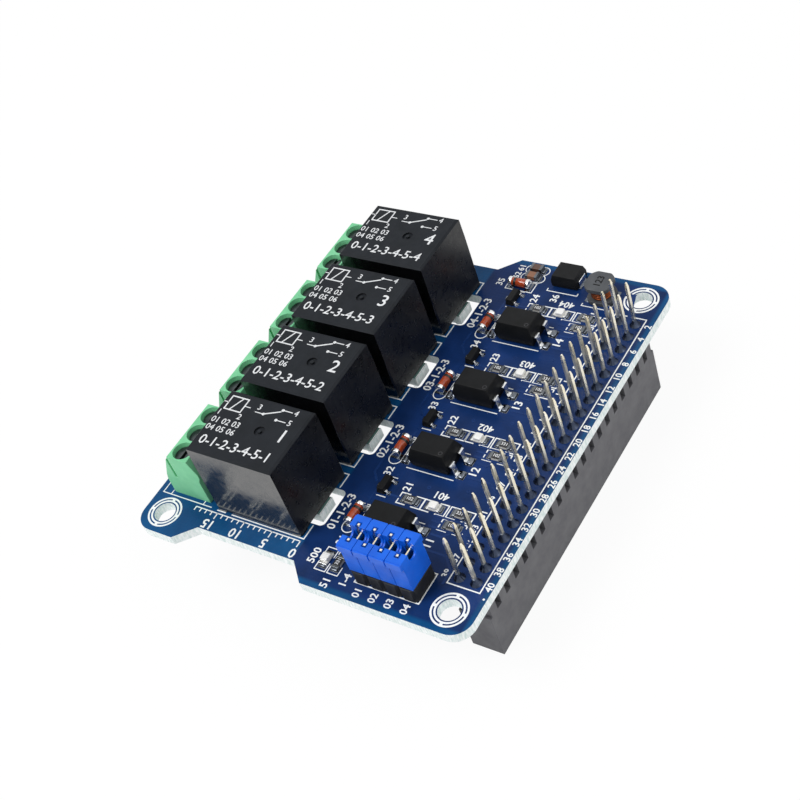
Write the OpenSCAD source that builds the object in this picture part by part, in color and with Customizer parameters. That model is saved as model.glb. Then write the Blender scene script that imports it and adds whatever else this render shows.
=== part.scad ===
// Four-channel relay module board with a stacking pin header and rising-clamp wire terminals.
// Origin: centre of the four mounting holes, on the underside of the board. X runs along the long
// side, -Y faces the wire terminals, +Y the pin header, +Z the component side. Millimetres.

/* [Board] */
// Length of the board along X
board_l = 65; // [63:0.5:80]
// Width of the board along Y
board_w = 56.5; // [54:0.5:75]
// Thickness of the laminate
board_t = 1.6; // [1:0.1:2.4]
// Radius of the four corners
corner_r = 3; // [1:0.25:3.5]
// Diameter of the four mounting holes
mount_hole_d = 3.3; // [2.5:0.1:4]
// Distance of the mounting holes from the short edges
mount_margin = 3.5; // [3:0.1:5]
// Distance of the mounting holes from the edge beside the wire terminals
terminal_margin = 3.6; // [3:0.1:5]
// Distance of the mounting holes from the edge beside the pin header
header_margin = 3.9; // [3.4:0.1:5]
// Depth of the recess in each short edge
recess_depth = 2.9; // [1:0.1:3.2]
// Length of the recess in each short edge, over its slanted ends
recess_l = 23.2; // [14:0.2:24]
// Width of the milled slot that isolates each relay's common contact
slot_w = 1.6; // [0.8:0.1:2]

/* [Relays] */
// Width of a relay at the board, along X
relay_w = 11.8; // [11:0.1:12.8]
// Length of a relay at the board, along Y
relay_l = 15.2; // [13.5:0.1:16.2]
// Height of a relay above the board
relay_h = 13.45; // [10:0.05:18]
// How far each side of a relay leans in by its top
relay_draft = 0.2; // [0:0.05:0.5]
// Radius of a relay's upright edges
relay_edge_r = 0.5; // [0.2:0.05:1]
// Chamfer round a relay's top
relay_chamfer = 0.3; // [0.1:0.05:0.6]
// Height of the feet under a relay's corners
relay_foot_h = 0.3; // [0.1:0.05:0.8]
// Thickness of the plate that closes a relay from below
relay_base_t = 1.2; // [0.6:0.1:2]
// Gap between neighbouring relays
relay_side_gap = 1.6; // [0.4:0.1:2.2]
// Gap between a terminal block and its relay
relay_gap = 1.85; // [1:0.05:2.2]

/* [Terminal blocks] */
// Distance between the wire poles of a block
pole_pitch = 3.5; // [3.3:0.05:3.9]
// Depth of a block at the board, along Y
block_l = 6.8; // [6.6:0.1:8]
// Height of a block above the board
block_h = 8.8; // [8.4:0.1:11]
// Height of the upright face that the wires enter
block_toe_h = 3; // [2:0.1:3.4]
// Width of the flat strip on a block's top, along Y
block_crown_l = 3.6; // [3.3:0.1:3.8]
// Distance of the blocks from the board's edge
block_inset = 2.8; // [1:0.1:3]
// Diameter of a clamping screw's shank
screw_d = 1.9; // [1.6:0.05:2]
// Diameter of a clamping screw's head
screw_head_d = 2.9; // [2.4:0.05:3]
// Height of a clamping screw's head
screw_head_h = 1.2; // [0.8:0.05:1.4]
// Tallest wire that a clamp takes when it is fully open
wire_h = 2.2; // [1.6:0.05:2.4]

/* [Pin header] */
// Distance between neighbouring pins
pin_pitch = 2.54; // [2.2:0.02:2.6]
// Width of a flat header pin, along X
header_pin_w = 0.52; // [0.44:0.02:0.64]
// Thickness of a flat header pin, along Y
header_pin_t = 0.36; // [0.3:0.02:0.64]
// Height of the pin tips above the board
pin_rise = 8.35; // [6:0.05:12]
// Width of the socket below the board, along Y
socket_w = 5; // [4.8:0.05:5.4]
// Height of the socket's solid body
socket_body_h = 8.1; // [6:0.1:10]
// Height of the spacer teeth between the socket's body and the board
tooth_h = 4.5; // [2:0.1:8]
// Width of a spacer tooth, along X
tooth_w = 1.44; // [1.1:0.02:1.8]

/* [Jumper block] */
// Side of a square jumper pin
pin_w = 0.64; // [0.5:0.02:0.7]
// Height of the plastic strip that holds the jumper pins
jumper_base_h = 2.54; // [1.5:0.02:3]
// Height of a jumper cap
cap_h = 5.7; // [5:0.1:6]
// Gap between a seated cap and the strip, and between neighbouring caps
cap_gap = 0.1; // [0.05:0.01:0.2]

/* [Small parts] */
// Length of an optocoupler's body, along Y
opto_l = 6.5; // [5.5:0.1:7]
// Width of an optocoupler's body, along X
opto_w = 4.6; // [3.8:0.1:5]
// Height of an optocoupler's top above the board
opto_h = 3.7; // [3:0.1:5]
// Length of a chip resistor, capacitor or lamp
chip_l = 2; // [1.6:0.05:2.4]
// Width of a chip resistor, capacitor or lamp
chip_w = 1.25; // [0.8:0.05:1.5]
// Length of a glass diode over its end caps
diode_l = 3.5; // [3:0.05:4]
// Diameter of a glass diode's end caps
diode_d = 1.5; // [1.2:0.05:1.8]
// Side of the inductor's flanges
inductor_side = 4.1; // [3.5:0.05:4.4]
// Height of the inductor above the board
inductor_h = 3.2; // [2.4:0.1:4.5]

/* [Hidden] */
$fn = 48;
// Overshoot of a cutting shape past the face it cuts
over = 0.5;
channels = [1, 2, 3, 4];
poles = ["a", "b", "c"];

// Board outline and mounting holes
mount_dx = board_l - 2 * mount_margin;
mount_dy = board_w - terminal_margin - header_margin;
board_x0 = -board_l / 2;
board_x1 = board_l / 2;
board_y0 = -mount_dy / 2 - terminal_margin;
board_y1 = mount_dy / 2 + header_margin;

// Terminal mechanism. Heights are above the board, and depths run back from the wire face.
clamp_clear = 0.2;
clamp_lift = 0.25;
clamp_floor = 0.5;
clamp_roof = 0.9;
clamp_wall = 0.21;
clamp_side = 0.2;
clamp_slack = 0.15;
clamp_l = 2.6;
thread_clear = 0.09;
bar_t = 0.6;
strip_t = 0.45;
strip_clear = 0.15;
back_wall = 0.5;
ledge_t = 0.6;
ledge_clear = 0.09;
head_recess = 0.75;
head_play = 0.05;
well_clear = 0.1;
tip_play = 0.05;
driver_slot = [0.5, 0.6];
tail_w = 0.8;
tail_drop = 1.5;
tail_hole_d = 1.15;
bar_seat = 0.5;
bar_side = 0.1;
block_w = len(poles) * pole_pitch;
clamp_bore_d = screw_d + 2 * thread_clear;
clamp_w = clamp_bore_d + 2 * clamp_wall;
cavity_w = clamp_w + 2 * clamp_clear;
screw_u = block_l - back_wall - strip_t - strip_clear - clamp_l / 2;
cavity_u0 = screw_u - clamp_l / 2 - clamp_clear;
cavity_u1 = block_l - back_wall;
strip_u = cavity_u1 - strip_t;
wire_z0 = clamp_lift + clamp_floor;
bar_z0 = wire_z0 + wire_h;
bar_z1 = bar_z0 + bar_t;
clamp_roof_z = bar_z1 + clamp_slack;
clamp_top_z = clamp_roof_z + clamp_roof;
head_z = block_h - head_recess - screw_head_h;
cavity_top_z = head_z - head_play - ledge_t;
clamp_window_w = clamp_w - 2 * clamp_side;
bar_w = clamp_window_w - 2 * bar_side;
wire_wall = 0.5;
wire_w = cavity_w - wire_wall;
mouth_grow = 0.4;
mouth_l = 1.4;
toe_break = [0.4, 1.3];
crown_break = [0.4, 0.5];
rib_drop = 2.4;
rib_h = 0.8;
rib_out = 0.5;
groove = [0.4, 0.45];
groove_wall = 0.35;
groove_rise = 1.2;
rail = [0.35, 0.35];
rail_top = 1.8;

// Places along X and Y
channel_pitch = relay_w + relay_side_gap;
channel_shift = -0.1;
block_y = board_y0 + block_inset;
relay_y0 = block_y + block_l + relay_gap;
relay_y = relay_y0 + relay_l / 2;
relay_y1 = relay_y0 + relay_l;
header_y = mount_dy / 2;
opto_row_shift = -1.175;
opto_y = (relay_y1 + header_y) / 2 + opto_row_shift;

// Relay pins, measured from the relay's own ends and sides
load_pin = [1.3, 0.5];
coil_pin = [0.6, 0.6];
relay_pin_side = 1.3;
common_end = 1.45;
coil_end = 3.45;
contact_end = 1.55;
relay_pin_drop = 1.9;
relay_wall = 0.6;
relay_foot_l = 1.6;
vent_d = 1.6;
vent_depth = 0.25;
vent_nib_d = 0.6;
vent_at = [-0.3, 1.5];
load_hole_d = 1.5;
coil_hole_d = norm(coil_pin) + 0.15;
relay_pin_x = relay_w / 2 - relay_pin_side;
relay_ceiling = relay_foot_h + relay_base_t;

// Isolating slot round each common pin
island_rim = 0.9;
slot_leg_l = 3.4;
slot_past_relay = 1.1;
slot_x = load_hole_d / 2 + island_rim + slot_w / 2;

// Header and jumper pins
header_cols = 20;
jumper_rows = [1, 2, 3, 4];
pin_hole_d = pin_w * sqrt(2) + 0.1;
pin_taper = 0.8;
pin_tip = 0.5;
pin_tail = 1.5;
socket_end = 1.2;
socket_l = (header_cols - 1) * pin_pitch + 2 * socket_end;
socket_drop = socket_body_h + tooth_h;
socket_roof = 0.8;
socket_floor = 0.7;
socket_clear = 0.03;
cell_x = 1.3;
cell_y = 1.5;
mouth_w = 0.9;
mouth_flare = 0.3;
fork_leaf = 0.2;
fork_bridge_h = 0.8;
fork_l = 6;
fork_gap = pin_w;

// Jumper block, placed from the +X edge and the optocouplers' row
jumper_in = [5.34, 4.67];
jumper_at = [board_x1 - jumper_in[0], opto_y + jumper_in[1]];
jumper_chamfer = 0.45;
cap_l = 2 * pin_pitch - 0.08;
cap_w = pin_pitch - cap_gap;
cap_lip_h = 0.85;
cap_lip = 0.15;
cap_deck = 0.85;
channel_w = 1.7;
channel_depth = 1.6;
pocket_wall = 0.3;
pocket_depth = 3.4;
window_w = 0.8;
keyhole_w = 0.35;
clip_t = 0.2;
clip_clear = 0.03;
clip_lift = 0.7;
clip_low = 0.15;
cap_z = jumper_base_h + cap_gap;
clip_in = pin_w / 2 + clip_clear;
clip_out = clip_in + clip_t;
cap_ceiling = cap_h - cap_deck;

// Optocouplers and chips
opto_bevel = 0.6;
opto_mid = 2;
opto_lift = 0.3;
opto_under = 0.3;
opto_lead_y = 0.5;
opto_foot_y = 1.75;
opto_lead_t = 0.25;
opto_lead_w = 0.8;
opto_shoulder_w = 1.1;
opto_lead_x = 1.27;
resistor_h = 0.5;
capacitor_h = 0.9;
chip_cap_l = 0.4;
chip_step = 0.04;
lamp_base_h = 0.35;
lamp_h = 0.85;

// A channel's small parts, measured from its optocoupler
resistors_at = [[-5.33, 7.95], [-3.13, 7.85], [-5.3, -0.15]];
lamp_at = [-5.31, 3.75];
transistor_at = [-6.4, -4.95];
diode_at = [-0.4, -6.3];

// The power parts, measured from the nearer short edge and from the optocouplers' row
power_lamp_in = [4.7, -6.25];
power_resistor_in = [4.7, -4.15];
power_diode_in = [5.35, -5.25];
capacitors_in = [[1.54, -4.23], [3.25, -4.23]];
rectifier_in = [2.4, 1.75];
inductor_in = [4.3, 8.25];
power_diode = [board_x0 + power_diode_in[0], opto_y + power_diode_in[1]];
rectifier_at = [board_x0 + rectifier_in[0], opto_y + rectifier_in[1]];
inductor_at = [board_x0 + inductor_in[0], opto_y + inductor_in[1]];

transistor_body = [2.9, 1.3, 1];

// Optocouplers, spread evenly from the power diode on the left to the jumper block on the right
opto_to_jumper = 1.83;
transistor_to_diode = 0.71;
opto_first_x = jumper_at[0] - pin_pitch - opto_to_jumper - opto_w / 2;
opto_last_x = power_diode[0] + diode_d / 2 + transistor_to_diode + transistor_body[0] / 2 - transistor_at[0];
opto_pitch = (opto_first_x - opto_last_x) / (len(channels) - 1);

// Forms of the diodes, the transistors, the rectifier and the inductor
diode_cap_l = 0.55;
diode_step = 0.05;
transistor_lift = 0.1;
transistor_lead_x = 0.95;
transistor_lead_w = 0.4;
transistor_lead_t = 0.15;
transistor_reach = 0.55;
rectifier_body = [3.6, 4.3, 2.15];
rectifier_bevel = 0.25;
rectifier_lift = 0.15;
tab_w = 2;
tab_t = 0.2;
tab_h = 1.25;
tab_under = 1;
flange_t = 0.7;
post_d = 2;
winding_d = 3.3;
wire_d = 0.35;

function channel_x(c) = channel_shift + (mid(channels) - c) * channel_pitch;
function opto_x(c) = opto_first_x - (c - 1) * opto_pitch;
function pole_x(p) = (1 - p) * pole_pitch;
function header_x(i) = (i - (header_cols - 1) / 2) * pin_pitch;
function jumper_y(r) = (mid(jumper_rows) - r) * pin_pitch;
function mid(numbers) = (len(numbers) + 1) / 2;

// ---- Shared shapes ----

// Rectangle with round corners, centred on the origin.
module rounded_rect(w, l, r) {
    square([w - 2 * r, l], center = true);
    square([w, l - 2 * r], center = true);
    for (x = [-1, 1], y = [-1, 1])
        translate([x * (w / 2 - r), y * (l / 2 - r)]) circle(r);
}

// Rectangle with straight-cut corners, centred on the origin.
module cut_rect(w, l, c) {
    polygon([
        [-w / 2 + c, -l / 2], [w / 2 - c, -l / 2], [w / 2, -l / 2 + c], [w / 2, l / 2 - c],
        [w / 2 - c, l / 2], [-w / 2 + c, l / 2], [-w / 2, l / 2 - c], [-w / 2, -l / 2 + c]
    ]);
}

// Bar along Z whose section is [x, y], standing on z.
module post(section, z, h) {
    translate([-section[0] / 2, -section[1] / 2, z]) cube([section[0], section[1], h]);
}

// Stretches an outline drawn in the X-Z plane along Y, centred.
module along_y(l) {
    rotate([90, 0, 0]) linear_extrude(l, center = true) children();
}

// Stretches an outline drawn in the Y-Z plane along X, centred.
module along_x(l) {
    rotate([90, 0, 90]) linear_extrude(l, center = true) children();
}

// Block whose section changes evenly from [x, y] at the bottom to [x, y] at the top.
module taper(low, high, h) {
    intersection() {
        along_y(max(low[1], high[1]) + 1) trapezoid(low[0], high[0], h);
        along_x(max(low[0], high[0]) + 1) trapezoid(low[1], high[1], h);
    }
}

module trapezoid(low, high, h) {
    polygon([[-low / 2, 0], [low / 2, 0], [high / 2, h], [-high / 2, h]]);
}

// Gull-wing lead that leaves a body at the origin, runs along +Y and ends in a foot on z = 0.
module gull_wing(w, h, shoulder, reach, t) {
    slant = 0.12;
    along_x(w) polygon([
        [0, h - t], [0, h], [shoulder, h], [shoulder + slant, t], [reach, t], [reach, 0],
        [shoulder + slant - t, 0], [shoulder - t, h - t]
    ]);
}

// Pin of section [x, y] from z0 up to a tip at z1 that tapers to a part of that section.
module pin(section, z0, z1) {
    post(section, z0, z1 - pin_taper - z0);
    translate([0, 0, z1 - pin_taper]) taper(section, pin_tip * section, pin_taper);
}

// ---- Circuit board ----

module board_outline() {
    difference() {
        translate([0, (board_y0 + board_y1) / 2]) rounded_rect(board_l, board_w, corner_r);
        for (side = [0, 1]) mirror([side, 0]) edge_recess();
    }
}

module edge_recess() {
    half = recess_l / 2;
    translate([board_x1, relay_y]) polygon([
        [over, -half - over], [-recess_depth, -half + recess_depth],
        [-recess_depth, half - recess_depth], [over, half + over]
    ]);
}

// Slot of constant width in the form of a square arch, centred on a relay's common pin.
module isolating_slot() {
    bar_y = relay_y1 + slot_past_relay;
    foot_y = bar_y - slot_leg_l;
    for (side = [-1, 1]) {
        translate([side * slot_x, bar_y]) circle(d = slot_w);
        translate([side * slot_x, foot_y]) circle(d = slot_w);
        translate([side * slot_x - slot_w / 2, foot_y]) square([slot_w, slot_leg_l]);
    }
    translate([-slot_x, bar_y - slot_w / 2]) square([2 * slot_x, slot_w]);
}

module mounting_holes() {
    for (x = [-1, 1], y = [-1, 1])
        translate([x * mount_dx / 2, y * mount_dy / 2]) circle(d = mount_hole_d);
}

module header_holes() {
    for (i = [0:header_cols - 1], row = [-1, 1])
        translate([header_x(i), header_y + row * pin_pitch / 2]) circle(d = pin_hole_d);
}

module jumper_holes() {
    for (r = jumper_rows, side = [-1, 1])
        translate(jumper_at + [side * pin_pitch / 2, jumper_y(r)]) circle(d = pin_hole_d);
}

module channel_holes() {
    for (c = channels) translate([channel_x(c), 0]) {
        isolating_slot();
        for_load_pins() circle(d = load_hole_d);
        for_coil_pins() circle(d = coil_hole_d);
        for (p = [0, 1, 2])
            translate([pole_x(p), block_y + strip_u + strip_t / 2]) circle(d = tail_hole_d);
    }
}

module circuit_board() {
    color("#1c4687") linear_extrude(board_t) difference() {
        board_outline();
        mounting_holes();
        header_holes();
        jumper_holes();
        channel_holes();
    }
}

// ---- Pin header ----

module header_pin() {
    cell_top = -tooth_h - socket_roof;
    pin([header_pin_w, header_pin_t], cell_top, board_t + pin_rise);
    fork_w = fork_gap + 2 * fork_leaf;
    post([fork_w, header_pin_t], cell_top - fork_bridge_h, fork_bridge_h);
    for (side = [-1, 1])
        translate([side * (fork_gap + fork_leaf) / 2, 0])
            post([fork_leaf, header_pin_t], cell_top - fork_l, fork_l);
}

module gpio_pins() {
    color("#cdb98a") for (i = [0:header_cols - 1], row = [-1, 1])
        translate([header_x(i), header_y + row * pin_pitch / 2, 0]) header_pin();
}

// Hollow round one pin: a flared mouth below, the contact's cell, and a close hole up to the board.
module socket_cell() {
    hole = [header_pin_w + 2 * socket_clear, header_pin_t + 2 * socket_clear];
    flare = mouth_w + 2 * mouth_flare;
    cell_h = socket_body_h - socket_roof - socket_floor;
    translate([0, 0, -socket_drop]) {
        taper([flare, flare], [mouth_w, mouth_w], mouth_flare);
        post([mouth_w, mouth_w], 0, socket_floor + over);
        post([cell_x, cell_y], socket_floor, cell_h);
    }
    post(hole, -tooth_h - socket_roof - over, tooth_h + socket_roof + 2 * over);
}

module gpio_socket() {
    color("#606064") translate([0, header_y, 0]) difference() {
        translate([-socket_l / 2, -socket_w / 2, -socket_drop]) cube([socket_l, socket_w, socket_body_h]);
        for (i = [0:header_cols - 1], row = [-1, 1])
            translate([header_x(i), row * pin_pitch / 2, 0]) socket_cell();
    }
    color("#606064") translate([0, header_y, 0]) difference() {
        for (i = [0:header_cols - 1])
            translate([header_x(i), 0, 0]) post([tooth_w, socket_w], -tooth_h, tooth_h);
        for (i = [0:header_cols - 1], row = [-1, 1])
            translate([header_x(i), row * pin_pitch / 2, 0]) socket_cell();
    }
}

// ---- Jumper block ----

module jumper_base() {
    color("#17181a") translate([jumper_at[0], jumper_at[1], board_t]) linear_extrude(jumper_base_h)
        difference() {
            for (r = jumper_rows)
                translate([0, jumper_y(r)]) cut_rect(2 * pin_pitch, pin_pitch, jumper_chamfer);
            for (r = jumper_rows, side = [-1, 1])
                translate([side * pin_pitch / 2, jumper_y(r)]) square(pin_w, center = true);
        }
}

module jumper_pins() {
    color("#cdb98a") for (r = jumper_rows, side = [-1, 1])
        translate([jumper_at[0] + side * pin_pitch / 2, jumper_at[1] + jumper_y(r), 0])
            pin([pin_w, pin_w], -pin_tail, board_t + pin_rise);
}

// Repeats its children at the seated place of the cap in row r.
module at_cap(r) {
    translate([jumper_at[0], jumper_at[1] + jumper_y(r), board_t + cap_z]) children();
}

module cap_shell() {
    waist_l = cap_l - 2 * cap_lip;
    post([waist_l, cap_w], 0, cap_h);
    post([cap_l, cap_w], cap_h - cap_lip_h, cap_lip_h);
}

// Round-bottomed channel across a cap's top, with a keyhole slot towards each window and a deeper
// pocket between them, where the clip shows.
module cap_channel() {
    r = channel_w / 2;
    along_y(cap_w + 2 * over) {
        translate([0, cap_h - channel_depth + r]) circle(r);
        translate([-r, cap_h - channel_depth + r]) square([channel_w, channel_depth]);
    }
    post([pin_pitch, keyhole_w], cap_ceiling - over, cap_deck + 2 * over);
    post([channel_w, cap_w - 2 * pocket_wall], cap_h - pocket_depth, pocket_depth + over);
}

module jumper_cap(r) {
    color("#1f6fe0") at_cap(r) difference() {
        cap_shell();
        cap_channel();
        post([pin_pitch + 2 * clip_out, 2 * clip_out], -over, cap_ceiling + over);
        for (side = [-1, 1])
            translate([side * pin_pitch / 2, 0, 0]) post([window_w, window_w], 0, cap_h + over);
    }
}

// Bent strip that joins two pins: one long wall behind them and a short leaf in front of each.
module clip_outline() {
    difference() {
        square([pin_pitch + 2 * clip_out, 2 * clip_out], center = true);
        square([pin_pitch + 2 * clip_in, 2 * clip_in], center = true);
        translate([-pin_pitch / 2 + clip_in, -clip_out - over]) square([pin_pitch - 2 * clip_in, clip_t + 2 * over]);
    }
}

module jumper_clip(r) {
    color("#c9b27c") at_cap(r) translate([0, 0, clip_low])
        linear_extrude(cap_ceiling - clip_low) clip_outline();
}

// ---- Terminal blocks ----

// Side outline of a block, with depth from the wire face as its first coordinate.
module block_profile() {
    crown_0 = screw_u - block_crown_l / 2;
    crown_1 = screw_u + block_crown_l / 2;
    rib_top = block_h - rib_drop;
    rib_low = rib_top - rib_h;
    polygon([
        [0, 0], [0, block_toe_h], [toe_break[0], block_toe_h + toe_break[1]],
        [crown_0 - crown_break[0], block_h - crown_break[1]], [crown_0, block_h], [crown_1, block_h],
        [block_l + rib_out, rib_top], [block_l + rib_out, rib_low],
        [block_l, rib_low - rib_out * 2], [block_l, 0]
    ]);
}

// Wire way of one pole: flared at the face, then straight into the clamp's cavity.
module wire_way() {
    way_l = cavity_u0 + over;
    translate([0, 0, wire_z0 + wire_h / 2]) rotate([-90, 0, 0]) {
        translate([0, 0, -0.01])
            taper([wire_w + mouth_grow, wire_h + 2 * mouth_grow], [wire_w, wire_h], mouth_l);
        post([wire_w, wire_h], 0, way_l);
    }
}

// Everything that one pole takes out of its housing.
module pole_hollow() {
    wire_way();
    translate([-cavity_w / 2, cavity_u0, -over]) cube([cavity_w, cavity_u1 - cavity_u0, cavity_top_z + over]);
    translate([-bar_w / 2, cavity_u0 - bar_seat, bar_z0]) cube([bar_w, bar_seat + over, bar_t]);
    translate([0, screw_u, 0]) {
        translate([0, 0, cavity_top_z - over])
            cylinder(d = screw_d + 2 * ledge_clear, h = ledge_t + 2 * over);
        translate([0, 0, head_z - head_play])
            cylinder(d = screw_head_d + 2 * well_clear, h = block_h);
    }
}

// Upright groove on the +X end, for ganging blocks.
module gang_groove() {
    translate([block_w / 2 - groove[0], cavity_u0 - groove_wall - groove[1], block_toe_h + groove_rise])
        cube([groove[0] + over, groove[1], block_h]);
}

// Rail on the -X end that fits a neighbour's groove with a little play.
module gang_rail() {
    rail_u = cavity_u0 - groove_wall - groove[1] / 2 - rail[1] / 2;
    rail_h = block_h - block_toe_h - groove_rise - rail_top;
    translate([-block_w / 2 - rail[0], rail_u, block_toe_h + groove_rise])
        cube([rail[0] + over, rail[1], rail_h]);
}

module terminal_housing(c) {
    color("#7ccc9c") translate([channel_x(c), block_y, board_t]) difference() {
        union() {
            along_x(block_w) block_profile();
            gang_rail();
        }
        gang_groove();
        for (p = [0, 1, 2]) translate([pole_x(p), 0, 0]) pole_hollow();
    }
}

// Current bar over the wire, bent down behind the clamp and through the board.
module terminal_contact() {
    bar_u = cavity_u0 - bar_seat;
    translate([-bar_w / 2, bar_u, bar_z0]) cube([bar_w, cavity_u1 - bar_u, bar_t]);
    translate([-bar_w / 2, strip_u, 0]) cube([bar_w, strip_t, bar_z1]);
    translate([-tail_w / 2, strip_u, -board_t - tail_drop]) cube([tail_w, strip_t, board_t + tail_drop + over]);
}

module terminal_contacts() {
    color("#c8c4ba") for (c = channels, p = [0, 1, 2])
        translate([channel_x(c) + pole_x(p), block_y, board_t]) terminal_contact();
}

module terminal_screw(c, p) {
    color("#b9bcc0") translate([channel_x(c) + pole_x(p), block_y + screw_u, board_t]) difference() {
        union() {
            translate([0, 0, bar_z1 + tip_play]) cylinder(d = screw_d, h = head_z - bar_z1 - tip_play);
            translate([0, 0, head_z]) cylinder(d = screw_head_d, h = screw_head_h);
        }
        translate([0, 0, head_z + screw_head_h - driver_slot[1]])
            post([screw_head_d + over, driver_slot[0]], 0, driver_slot[1] + over);
    }
}

// Square cage that the screw pulls up against the wire.
module terminal_clamp(c, p) {
    window_h = clamp_roof_z - wire_z0;
    color("#b0b3b6") translate([channel_x(c) + pole_x(p), block_y + screw_u, board_t]) difference() {
        post([clamp_w, clamp_l], clamp_lift, clamp_top_z - clamp_lift);
        post([clamp_window_w, clamp_l + 2 * over], wire_z0, window_h);
        translate([0, 0, clamp_roof_z - over]) cylinder(d = clamp_bore_d, h = clamp_roof + 2 * over);
    }
}

// ---- Relays ----

module for_load_pins() {
    translate([0, relay_y1 - common_end]) children();
    for (side = [-1, 1]) translate([side * relay_pin_x, relay_y0 + contact_end]) children();
}

module for_coil_pins() {
    for (side = [-1, 1]) translate([side * relay_pin_x, relay_y1 - coil_end]) children();
}

// Front or side outline of a relay of width w: drafted walls and a chamfered top edge.
module relay_profile(w) {
    shoulder_z = relay_h - relay_chamfer;
    shoulder_x = w / 2 - relay_draft * shoulder_z / relay_h;
    top_x = w / 2 - relay_draft - relay_chamfer;
    polygon([
        [-w / 2, 0], [w / 2, 0], [shoulder_x, shoulder_z], [top_x, relay_h],
        [-top_x, relay_h], [-shoulder_x, shoulder_z]
    ]);
}

module relay_block() {
    intersection() {
        linear_extrude(relay_h) rounded_rect(relay_w, relay_l, relay_edge_r);
        along_y(relay_l + 2) relay_profile(relay_w);
        along_x(relay_w + 2) relay_profile(relay_l);
    }
}

// Space under the rim between the four corner feet.
module foot_relief() {
    post([relay_w + 2 * over, relay_l - 2 * relay_foot_l], -over, relay_foot_h + over);
    post([relay_w - 2 * relay_foot_l, relay_l + 2 * over], -over, relay_foot_h + over);
}

module vent() {
    translate([vent_at[0], vent_at[1], relay_h - vent_depth]) difference() {
        cylinder(d = vent_d, h = vent_depth + over);
        cylinder(d = vent_nib_d, h = vent_depth);
    }
}

module relay_case(c) {
    color("#24262a") translate([channel_x(c), relay_y, board_t]) difference() {
        relay_block();
        post([relay_w - 2 * relay_wall, relay_l - 2 * relay_wall], -over, relay_ceiling + over);
        foot_relief();
        vent();
    }
}

module relay_bases() {
    color("#1a1b1e") for (c = channels) translate([channel_x(c), 0, board_t]) difference() {
        translate([0, relay_y, 0])
            post([relay_w - 2 * relay_wall, relay_l - 2 * relay_wall], relay_foot_h, relay_base_t);
        for_load_pins() post(load_pin, -over, relay_ceiling + 2 * over);
        for_coil_pins() post(coil_pin, -over, relay_ceiling + 2 * over);
    }
}

module relay_pins() {
    low = -board_t - relay_pin_drop;
    color("#c4c6c8") for (c = channels) translate([channel_x(c), 0, board_t]) {
        for_load_pins() post(load_pin, low, relay_ceiling - low);
        for_coil_pins() post(coil_pin, low, relay_ceiling - low);
    }
}

// ---- Optocouplers ----

module opto_profile(w) {
    under = w / 2 - opto_under;
    crown = w / 2 - opto_bevel;
    polygon([
        [-under, opto_lift], [under, opto_lift], [w / 2, opto_mid], [crown, opto_h],
        [-crown, opto_h], [-w / 2, opto_mid]
    ]);
}

module optocouplers() {
    color("#202226") for (c = channels) translate([opto_x(c), opto_y, board_t]) intersection() {
        along_y(opto_l + 1) opto_profile(opto_w);
        along_x(opto_w + 1) opto_profile(opto_l);
    }
}

// One lead: a wide shoulder out of the body and a narrow leg down to the foot.
module opto_lead() {
    lead_top = opto_mid + opto_lead_t / 2;
    gull_wing(opto_lead_w, lead_top, opto_lead_y, opto_foot_y, opto_lead_t);
    translate([-opto_shoulder_w / 2, 0, lead_top - opto_lead_t])
        cube([opto_shoulder_w, opto_lead_y, opto_lead_t]);
}

module optocoupler_leads() {
    color("#c9cbcc") for (c = channels, end = [0, 1], side = [-1, 1])
        translate([opto_x(c) + side * opto_lead_x, opto_y, board_t]) mirror([0, end, 0])
            translate([0, opto_l / 2, 0]) opto_lead();
}

// ---- Transistors ----

module transistors() {
    top = [transistor_body[0] - 0.3, transistor_body[1] - 0.3];
    color("#26282b") for (c = channels)
        translate([opto_x(c) + transistor_at[0], opto_y + transistor_at[1], board_t + transistor_lift])
            taper([transistor_body[0], transistor_body[1]], top, transistor_body[2]);
}

module transistor_leads() {
    lead_h = 0.5;
    color("#c9cbcc") for (c = channels)
        translate([opto_x(c) + transistor_at[0], opto_y + transistor_at[1], board_t]) {
            for (side = [-1, 1]) translate([side * transistor_lead_x, 0, 0]) transistor_lead(lead_h);
            mirror([0, 1, 0]) transistor_lead(lead_h);
        }
}

// Lead that starts on the slanted long face of the body.
module transistor_lead(lead_h) {
    lean = 0.15 * (lead_h - transistor_lift) / transistor_body[2];
    translate([0, transistor_body[1] / 2 - lean + 0.01, 0])
        gull_wing(transistor_lead_w, lead_h, 0.2, transistor_reach + lean, transistor_lead_t);
}

// ---- Diodes ----

module diode_glass() {
    glass_l = diode_l - 2 * diode_cap_l;
    translate([-glass_l / 2, 0, diode_d / 2]) rotate([0, 90, 0])
        cylinder(d = diode_d - 2 * diode_step, h = glass_l);
}

module diode_ends() {
    for (side = [0, 1]) mirror([side, 0, 0])
        translate([diode_l / 2 - diode_cap_l, 0, diode_d / 2]) rotate([0, 90, 0])
            cylinder(d = diode_d, h = diode_cap_l);
}

// Repeats its children at the four channel diodes, and turned at the power diode.
module for_diodes() {
    for (c = channels)
        translate([opto_x(c) + diode_at[0], opto_y + diode_at[1], board_t]) children();
    translate([power_diode[0], power_diode[1], board_t]) rotate([0, 0, 90]) children();
}

module diode_bodies() {
    color("#c65a34") for_diodes() diode_glass();
}

// End caps of the glass diodes and the bent tabs of the rectifier.
module diode_terminals() {
    color("#d2d2ce") {
        for_diodes() diode_ends();
        translate([rectifier_at[0], rectifier_at[1], board_t])
            for (end = [0, 1]) mirror([0, end, 0]) rectifier_tab();
    }
}

module rectifier_tab() {
    face = rectifier_body[1] / 2;
    translate([-tab_w / 2, face, 0]) cube([tab_w, tab_t, tab_h]);
    translate([-tab_w / 2, face - tab_under, 0]) cube([tab_w, tab_under + tab_t, rectifier_lift]);
}

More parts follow.
